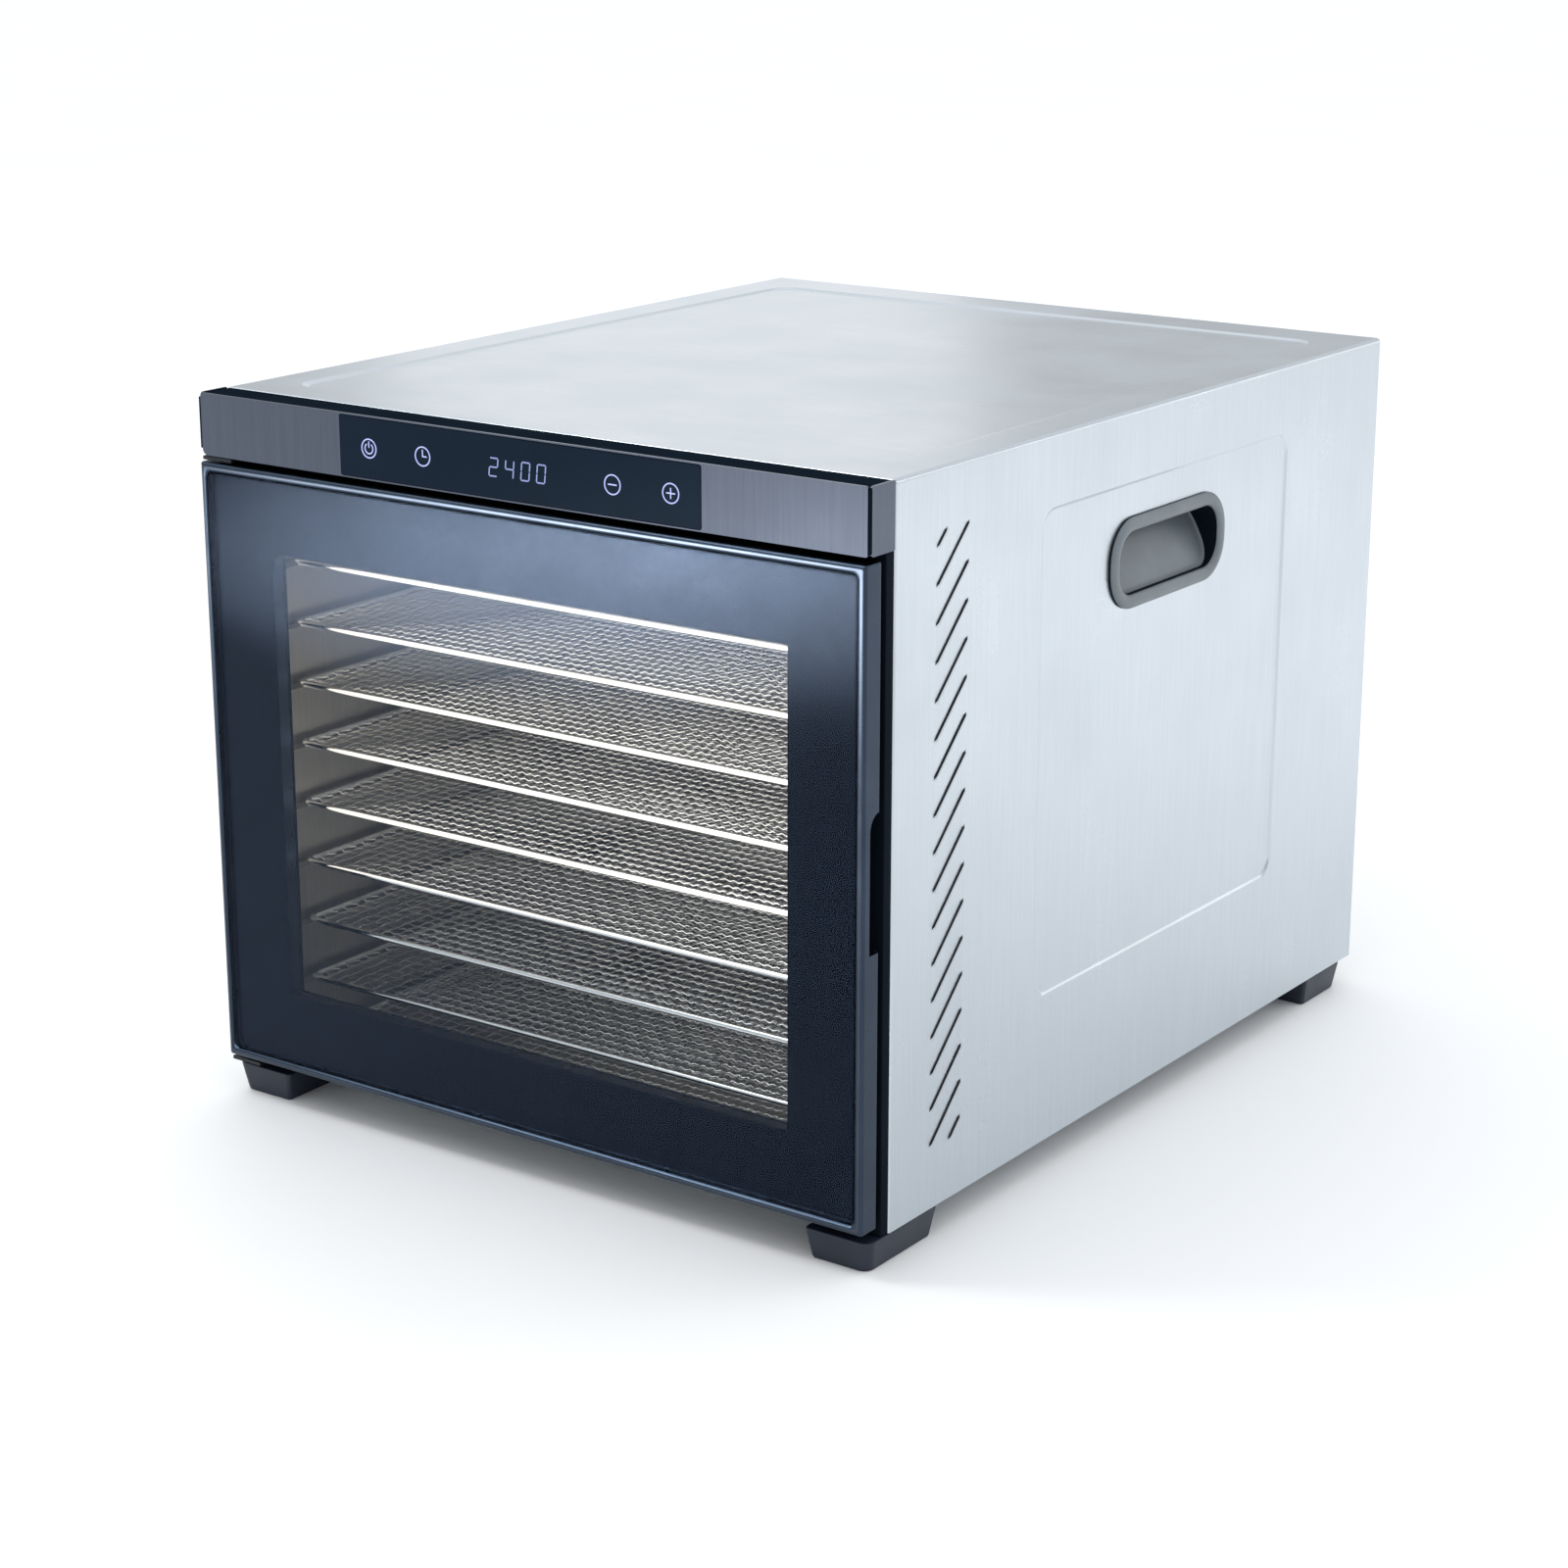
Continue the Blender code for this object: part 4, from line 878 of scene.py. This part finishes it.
def door_loop(depth, inset=None, radius=None):
    """A loop round the door at a depth behind its face: its outer edge, or a given inset."""
    y = DOOR_LOW.y + depth
    if inset is not None:
        return level("Y", y, rounded(*front_box(DOOR_LOW, DOOR_HIGH, inset), radius))
    hinge = frame_joint("door_hinge")["pos_m"]
    from_back = DOOR_HIGH.y - y
    swing = hinge[0] - DOOR_LOW.x
    behind = max(0.0, y - hinge[1])
    left = round_inset(depth, DOOR_FRONT_ROUND) + swing - math.sqrt(swing ** 2 - behind ** 2)
    right = round_inset(depth, DOOR_SIDE_ROUND) + round_inset(from_back, DOOR_BACK_ROUND)
    ends = round_inset(depth, DOOR_TOP_ROUND) + round_inset(from_back, DOOR_BACK_ROUND)
    low = (DOOR_LOW.x + left, DOOR_LOW.z + ends)
    high = (DOOR_HIGH.x - right, DOOR_HIGH.z - ends)
    return level("Y", y, rounded(low, high, DOOR_CORNER))


def finger_notch():
    """The outline of the notch behind the door's free edge, in depth and height, with a bowed top."""
    skin = DOOR_LOW.y + NOTCH_SKIN
    deep = DOOR_HIGH.y + NOTCH_CLEAR
    outline = [(skin, NOTCH_LOW), (deep, NOTCH_LOW), (deep, NOTCH_HIGH)]
    for index in range(NOTCH_STEPS + 1):
        angle = math.radians(90 + 90 * index / NOTCH_STEPS)
        outline.append((DOOR_HIGH.y + (DOOR_HIGH.y - skin) * math.cos(angle),
                        NOTCH_HIGH - NOTCH_BOW + NOTCH_BOW * math.sin(angle)))
    return outline


def make_door_frame():
    """The door's moulded frame: soft outer edges, a lip round the glass and a finger notch."""
    depths = [DOOR_THICKNESS - ring * MM for ring in RINGS_FROM_BACK]
    depths += [ring * MM for ring in RINGS_FROM_FACE]
    loops = [door_loop(depth) for depth in depths]
    steps = 4
    for index in range(steps + 1):
        angle = math.pi / 2 * index / steps
        inset = LIP - LIP_ROUND * (1 - math.sin(angle))
        loops.append(door_loop(LIP_ROUND * (1 - math.cos(angle)), inset, POCKET_RADIUS))
    loops.append(door_loop(POCKET_DEPTH, LIP, POCKET_RADIUS))
    window = rounded((-WINDOW_HALF, WINDOW_LOW), (WINDOW_HALF, WINDOW_HIGH), WINDOW_RADIUS)
    loops.append(level("Y", DOOR_LOW.y + POCKET_DEPTH, window))
    loops.append(level("Y", DOOR_HIGH.y, window))
    door = add_piece("door_moulding", loft(loops, looped=True), [DOOR_BLACK, DOOR_LIP_HIGHLIGHT], body="door",
                     stands_for=["door_frame"], crease=DOOR_CREASE)
    # The flat faces at the door's front take the lighter copy of its metal: a painted highlight along
    # the lip
    for face in door.data.polygons:
        if face.center.y < DOOR_LOW.y + FACE_LIMIT:
            face.material_index = 1
    notch = plate("X", NOTCH_INNER, DOOR_HIGH.x + NOTCH_CLEAR, finger_notch())
    carve(door, [notch], crease=DOOR_CREASE)


def glass_sheet(low, high, back_rings, edge, radius):
    """Glass with rounded corners, through the rings of its back and a ground edge round its face."""
    rings = [*back_rings, (low.y + edge, 0.0), (low.y + 0.3 * edge, 0.3 * edge), (low.y, edge)]
    loops = []
    for along, inset in rings:
        loops.append(level("Y", along, rounded(*front_box(low, high, inset), radius)))
    return loft(loops)


def make_door_glass():
    """The pane, and the black print on its back that leaves the window clear."""
    back_rings = [(PANE_HIGH.y, PANE_EDGE), (PANE_HIGH.y - PANE_EDGE, 0.0)]
    pane = glass_sheet(PANE_LOW, PANE_HIGH, back_rings, PANE_EDGE, PANE_RADIUS)
    add_piece("glass_pane", pane, [GLASS], body="door", stands_for=["door_glass"])
    window = grown((-WINDOW_HALF, WINDOW_LOW), (WINDOW_HALF, WINDOW_HIGH), -PRINT_REACH)
    front = PANE_HIGH.y + PRINT_GAP
    outline = rounded(*front_box(PANE_LOW, PANE_HIGH), PANE_RADIUS)
    shape = plate("Y", front, front + PRINT_THICKNESS, outline, [rounded(*window, PRINT_RADIUS)])
    add_piece("glass_print", shape, [PRINT], body="door")


# ---------------------------------------------------------------- control strip

def front_corners(side):
    """The low and high corner radii at one side of the strip."""
    return (BEZEL_CORNERS[0], BEZEL_CORNERS[3]) if side < 0 else BEZEL_CORNERS[1:3]


def make_bezel():
    """The brushed cover: a front plate with the panel's opening, and a plate on each side."""
    face = BEZEL_LOW.y
    reach = HALF - CORNER_GAP
    opening = rounded(*front_box(PANEL_LOW, PANEL_HIGH, -PANEL_CLEAR), OPENING_RADIUS, steps=4)
    outline = rounded((-reach, BEZEL_LOW.z), (reach, BEZEL_HIGH.z), BEZEL_CORNERS, steps=6)
    shape = plate("Y", face, face + BEZEL_SHEET, outline, [opening])
    for side in (-1, 1):
        low_front, high_front = front_corners(side)
        corners = (low_front, BEZEL_BACK_CORNER, BEZEL_BACK_CORNER, high_front)
        outline = rounded((face + CORNER_GAP, BEZEL_LOW.z), (BEZEL_HIGH.y, BEZEL_HIGH.z), corners)
        plate("X", side * (HALF - BEZEL_SHEET), side * HALF, outline, shape=shape)
    add_piece("bezel_cover", shape, [GUNMETAL], stands_for=["bezel_plate"],
              bevel=BEZEL_EDGE, segments=3)


def make_housing():
    """The black moulding inside the cover, which shows on top and as a bead at each front corner."""
    front = HOUSING_LOW.y
    wall = front + HOUSING_WALL
    opening = rectangle((PANEL_LOW.x + HOUSING_LEDGE[0], HOUSING_LOW.z + HOUSING_LEDGE[1]),
                        (PANEL_HIGH.x - HOUSING_LEDGE[0], HOUSING_HIGH.z - HOUSING_LEDGE[1]))
    inner = rectangle(*front_box(HOUSING_LOW, HOUSING_HIGH, HOUSING_WALL))
    outline = rounded(*front_box(HOUSING_LOW, HOUSING_HIGH), BEZEL_CORNERS)
    shape = plate("Y", front, wall, outline, [opening])
    plate("Y", wall, HOUSING_HIGH.y, outline, [inner], shape=shape)
    for side in (-1, 1):
        low_corner, high_corner = front_corners(side)
        edges = sorted((side * (HALF - CORNER_GAP + BEAD_INSET), side * (HALF - BEAD_RECESS)))
        bead = rectangle((edges[0], BEZEL_LOW.y + BEAD_INSET),
                         (edges[1], BEZEL_LOW.y + CORNER_GAP - BEAD_RECESS))
        plate("Z", HOUSING_LOW.z + low_corner, HOUSING_HIGH.z - high_corner, bead, shape=shape)
    add_piece("control_moulding", shape, [SHADED_BLACK], stands_for=["control_housing"],
              bevel=HOUSING_EDGE, segments=3)


def make_panel():
    """The touch panel's glass with a ground edge."""
    panel = glass_sheet(PANEL_LOW, PANEL_HIGH, [(PANEL_HIGH.y, 0.0)], PANEL_EDGE, PANEL_RADIUS)
    add_piece("touch_panel", panel, [PANEL], stands_for=["control_glass"])


def add_mark(shape, outline, holes=()):
    """A flat lit mark on the touch panel."""
    plate("Y", PANEL_LOW.y - GLYPH_PROUD, PANEL_LOW.y + GLYPH_PROUD, outline, holes, shape=shape)


def arc_band(centre, radius, width, start, end, steps):
    """The outline of a band along an arc."""
    outer = arc(centre, radius + width / 2, start, end, steps)
    inner = arc(centre, radius - width / 2, end, start, steps)
    return outer + inner


def cross_outline(centre, reach, half):
    """The outline of a plus sign, built from the same three corners turned to its four arms."""
    outline = []
    corners = [(-half, -reach), (half, -reach), (half, -half)]
    for _ in range(4):
        outline += [(centre[0] + across, centre[1] + up) for across, up in corners]
        corners = [(-up, across) for across, up in corners]
    return outline


def sign_outlines(name, centre):
    """The outlines of the sign in a key: power, timer, minus or plus."""
    across, up = centre
    half = KEY_LINE / 2
    if name == "power":
        return [arc_band(centre, SIGN_REACH, KEY_LINE, 90 + POWER_GAP, 450 - POWER_GAP, 24),
                bar((across, up + 0.75 * SIGN_REACH), half, 0.62 * SIGN_REACH)]
    if name == "timer":
        return [bar((across, up + 0.6 * SIGN_REACH), half, 0.6 * SIGN_REACH + half),
                bar((across + 0.45 * SIGN_REACH + half, up), 0.45 * SIGN_REACH, half)]
    if name == "minus":
        return [bar(centre, SIGN_REACH, half)]
    return [cross_outline(centre, SIGN_REACH, half)]


def make_keys():
    """Four touch keys, each a lit ring with a plain sign in it."""
    for name, across in KEY_CENTRES.items():
        centre = (across, (PANEL_LOW.z + PANEL_HIGH.z) / 2)
        shape = bmesh.new()
        ring = [circle(centre, radius, KEY_STEPS) for radius in (KEY_RADIUS, KEY_RADIUS - KEY_LINE)]
        add_mark(shape, ring[0], ring[1:])
        for outline in sign_outlines(name, centre):
            add_mark(shape, outline)
        add_piece("key_" + name, shape, [KEY_LIGHT])


def segment(centre, length, upright):
    """A pointed segment of a digit, level or upright."""
    half = length / 2
    thick = DIGIT_LINE / 2
    outline = [(-half, 0), (-half + thick, -thick), (half - thick, -thick), (half, 0),
               (half - thick, thick), (-half + thick, thick)]
    if upright:
        outline = [(-up, across) for across, up in outline]
    return [(centre[0] + across, centre[1] + up) for across, up in outline]


def make_digits():
    """The four digits of the display, as lit segments."""
    lit = {"2": "abged", "4": "fgbc", "0": "abcdef"}
    height = (PANEL_LOW.z + PANEL_HIGH.z) / 2
    half_wide = (DIGIT_WIDTH - DIGIT_LINE) / 2
    half_high = (DIGIT_HEIGHT - DIGIT_LINE) / 2
    places = {"a": (0, 1, 0), "d": (0, -1, 0), "g": (0, 0, 0), "b": (1, 0.5, 1), "c": (1, -0.5, 1),
              "e": (-1, -0.5, 1), "f": (-1, 0.5, 1)}
    shape = bmesh.new()
    for across, digit in zip(DIGIT_CENTRES, "2400"):
        for name in lit[digit]:
            x, z, upright = places[name]
            length = half_high if upright else 2 * half_wide
            outline = segment((x * half_wide, z * half_high), length - DIGIT_GAP, upright)
            add_mark(shape, [(across + aside + up * DIGIT_SLANT, height + up) for aside, up in outline])
    add_piece("display_digits", shape, [DIGIT_LIGHT])


# ---------------------------------------------------------------- pieces whose CAD shape stays

def dress(node, material, bevel=0.0):
    """Give a CAD node its finished material, and soft edges where it has room for them."""
    part = frame["nodes"][node]
    part.data.materials.clear()
    part.data.materials.append(material)
    if bevel:
        weld = part.modifiers.new("weld", "WELD")
        weld.merge_threshold = 1e-6
        soften(part, bevel)


def dress_nodes():
    """The materials of the CAD nodes that show as they are."""
    finishes = {
        STEEL: ["base_pan", "rear_panel", "strike_plate_upper", "strike_plate_lower", "motor_bracket"],
        # The hinge brackets take the near-black steel of painted shade, for the dark gap they sit in
        PAINTED_SHADE_STEEL: ["hinge_bracket_upper", "hinge_bracket_lower"],
        LINER: ["liner_left", "liner_right", "liner_top", "liner_floor", "air_wall"],
        BLACK: ["front_frame", "door_liner", "inlet_socket"],
        SEAL: ["door_seal"],
        BOARD: ["touch_board", "power_board"],
        DISPLAY: ["display_module"],
        MOTOR: ["fan_motor", "fan_shaft", "hinge_pin_upper", "hinge_pin_lower", "thermal_fuse",
                "temperature_probe"],
        FAN: ["fan_blade"],
        HEATER: ["heater_coil"],
        CERAMIC: ["heater_standoff_left", "heater_standoff_right", "thermostat"],
        CABLE: ["ribbon_cable", "mains_lead"],
        MAGNET: ["door_magnet_upper", "door_magnet_lower"],
    }
    soft_edges = {"front_frame": 0.5 * MM, "door_liner": 0.4 * MM}
    for material, nodes in finishes.items():
        for node in nodes:
            dress(node, material, soft_edges.get(node, 0.0))


# ---------------------------------------------------------------- studio

def make_floor():
    """A wide pale floor."""
    material, shader = principled("studio_floor", (0.95, 0.95, 0.95), 0.6)
    vary(shader, "Roughness", noise(shader, 3), 0.55, 0.65)
    outline = rectangle((-FLOOR_REACH, -FLOOR_REACH), (FLOOR_REACH, FLOOR_REACH))
    mesh = bpy.data.meshes.new("studio_floor")
    mesh.from_pydata(level("Z", 0.0, outline), [], [(0, 1, 2, 3)])
    mesh.materials.append(material)
    floor = add_object("studio_floor", mesh)


def add_light(name, place, target, size, power, colour=(1, 1, 1)):
    """A soft rectangular light that points at a target."""
    data = bpy.data.lights.new(name, "AREA")
    data.shape = "RECTANGLE"
    data.size, data.size_y = size
    data.energy = power
    data.color = colour
    light = add_object(name, data)
    light.location = place
    light.rotation_euler = (Vector(target) - Vector(place)).to_track_quat("-Z", "Y").to_euler()
    light.visible_camera = False
    return light


def fade_out(light):
    """Let a light's brightness fall off softly from its middle to its edges."""
    light.use_nodes = True
    tree = light.node_tree
    emission = tree.nodes["Emission"]
    place = tree.nodes.new("ShaderNodeTexCoord")
    mapping = tree.nodes.new("ShaderNodeMapping")
    fall = tree.nodes.new("ShaderNodeTexGradient")
    fall.gradient_type = "SPHERICAL"
    mapping.inputs["Scale"].default_value = (2 / light.size, 2 / light.size_y, 1.0)
    tree.links.new(place.outputs["Object"], mapping.inputs["Vector"])
    tree.links.new(mapping.outputs["Vector"], fall.inputs["Vector"])
    tree.links.new(fall.outputs["Fac"], emission.inputs["Strength"])


def light_only(light, *names):
    """Let a light reach only the named pieces."""
    reached = bpy.data.collections.new(light.name + "_receivers")
    for name in names:
        reached.objects.link(bpy.data.objects[name])
    light.light_linking.receiver_collection = reached


def make_world():
    """A soft world, brighter overhead than at the horizon, that the camera sees as plain white."""
    world = bpy.data.worlds.new("studio")
    world.use_nodes = True
    tree = world.node_tree
    place = tree.nodes.new("ShaderNodeTexCoord")
    height = tree.nodes.new("ShaderNodeSeparateXYZ")
    ramp = tree.nodes.new("ShaderNodeMapRange")
    ramp.inputs["To Min"].default_value = HORIZON_LIGHT
    ramp.inputs["To Max"].default_value = OVERHEAD_LIGHT
    tree.links.new(place.outputs["Generated"], height.inputs["Vector"])
    tree.links.new(height.outputs["Z"], ramp.inputs["Value"])
    path = tree.nodes.new("ShaderNodeLightPath")
    mix = tree.nodes.new("ShaderNodeMix")
    mix.inputs["B"].default_value = BACKDROP_LIGHT
    tree.links.new(path.outputs["Is Camera Ray"], mix.inputs["Factor"])
    tree.links.new(ramp.outputs["Result"], mix.inputs["A"])
    tree.links.new(mix.outputs["Result"], tree.nodes["Background"].inputs["Strength"])
    tree.nodes["Background"].inputs["Color"].default_value = (0.95, 0.975, 1.0, 1.0)
    bpy.context.scene.world = world


def make_studio():
    """Soft light from a pale world, softboxes above, behind and in front, and a lit chamber."""
    make_world()
    bpy.context.scene.view_settings.view_transform = "Standard"
    add_light("key", (-0.9, -0.8, 1.9), (0, 0, 0.2), size=(0.45, 0.45), power=9)
    # Sheens on the top, on the floor that the right side mirrors, and on that side's lower step
    add_light("back_left", (-1.9, 2.35, 0.9), (0, 0, 0.415), size=(0.9, 1.6), power=2.3)
    add_light("back_right", (1.3, 1.1, 1.0), (1.3, 1.1, 0.0), size=(0.5, 0.5), power=3.4)
    add_light("step_shine", (1.35, 2.07, 0.65), (0.225, 0.05, 0.15), size=(0.7, 0.8), power=2.2)
    # Soft gradients on the door's glass and on the control strip
    glow = add_light("door_glow", (-0.157, -0.672, 0.268), (0.13, -0.28, 0.385), size=(0.75, 0.22),
                     power=12.5)
    fade_out(glow.data)
    light_only(glow, "glass_pane", "door_moulding")
    shine = add_light("strip_glow", (-0.12, -0.82, 0.20), (0.22, -0.276, 0.40), size=(0.7, 0.25),
                      power=1.6)
    fade_out(shine.data)
    light_only(shine, "bezel_cover", "touch_panel")
    # Warm light inside the drying chamber, from just behind the door
    add_light("chamber", (0.0, -0.252, 0.25), (0.0, 0.1, 0.27), size=(0.36, 0.22), power=0.42,
              colour=(1.0, 0.92, 0.80))
    make_floor()


def make_camera():
    """The camera, above and to the right of the front, without shift or depth of field."""
    data = bpy.data.cameras.new("camera")
    data.lens = CAMERA_LENS
    data.sensor_width = CAMERA_SENSOR
    camera = add_object("camera", data)
    camera.location = CAMERA_PLACE
    camera.rotation_euler = (math.pi / 2 - CAMERA_PITCH, 0.0, CAMERA_TURN)
    bpy.context.scene.camera = camera


def main():
    """Everything, in the order in which the pieces are built."""
    make_camera()
    make_shell()
    for side, hand in ((-1, "left"), (1, "right")):
        make_handle(side, hand)
        make_cup_shade(side, hand)
    for name in frame["nodes"]:
        if name.startswith("foot_"):
            make_foot(name)
        if name.startswith("rear_screw_"):
            make_screw(name)
    make_trays()
    make_door_frame()
    make_door_glass()
    make_bezel()
    make_housing()
    make_panel()
    make_keys()
    make_digits()
    dress_nodes()
    make_studio()


main()
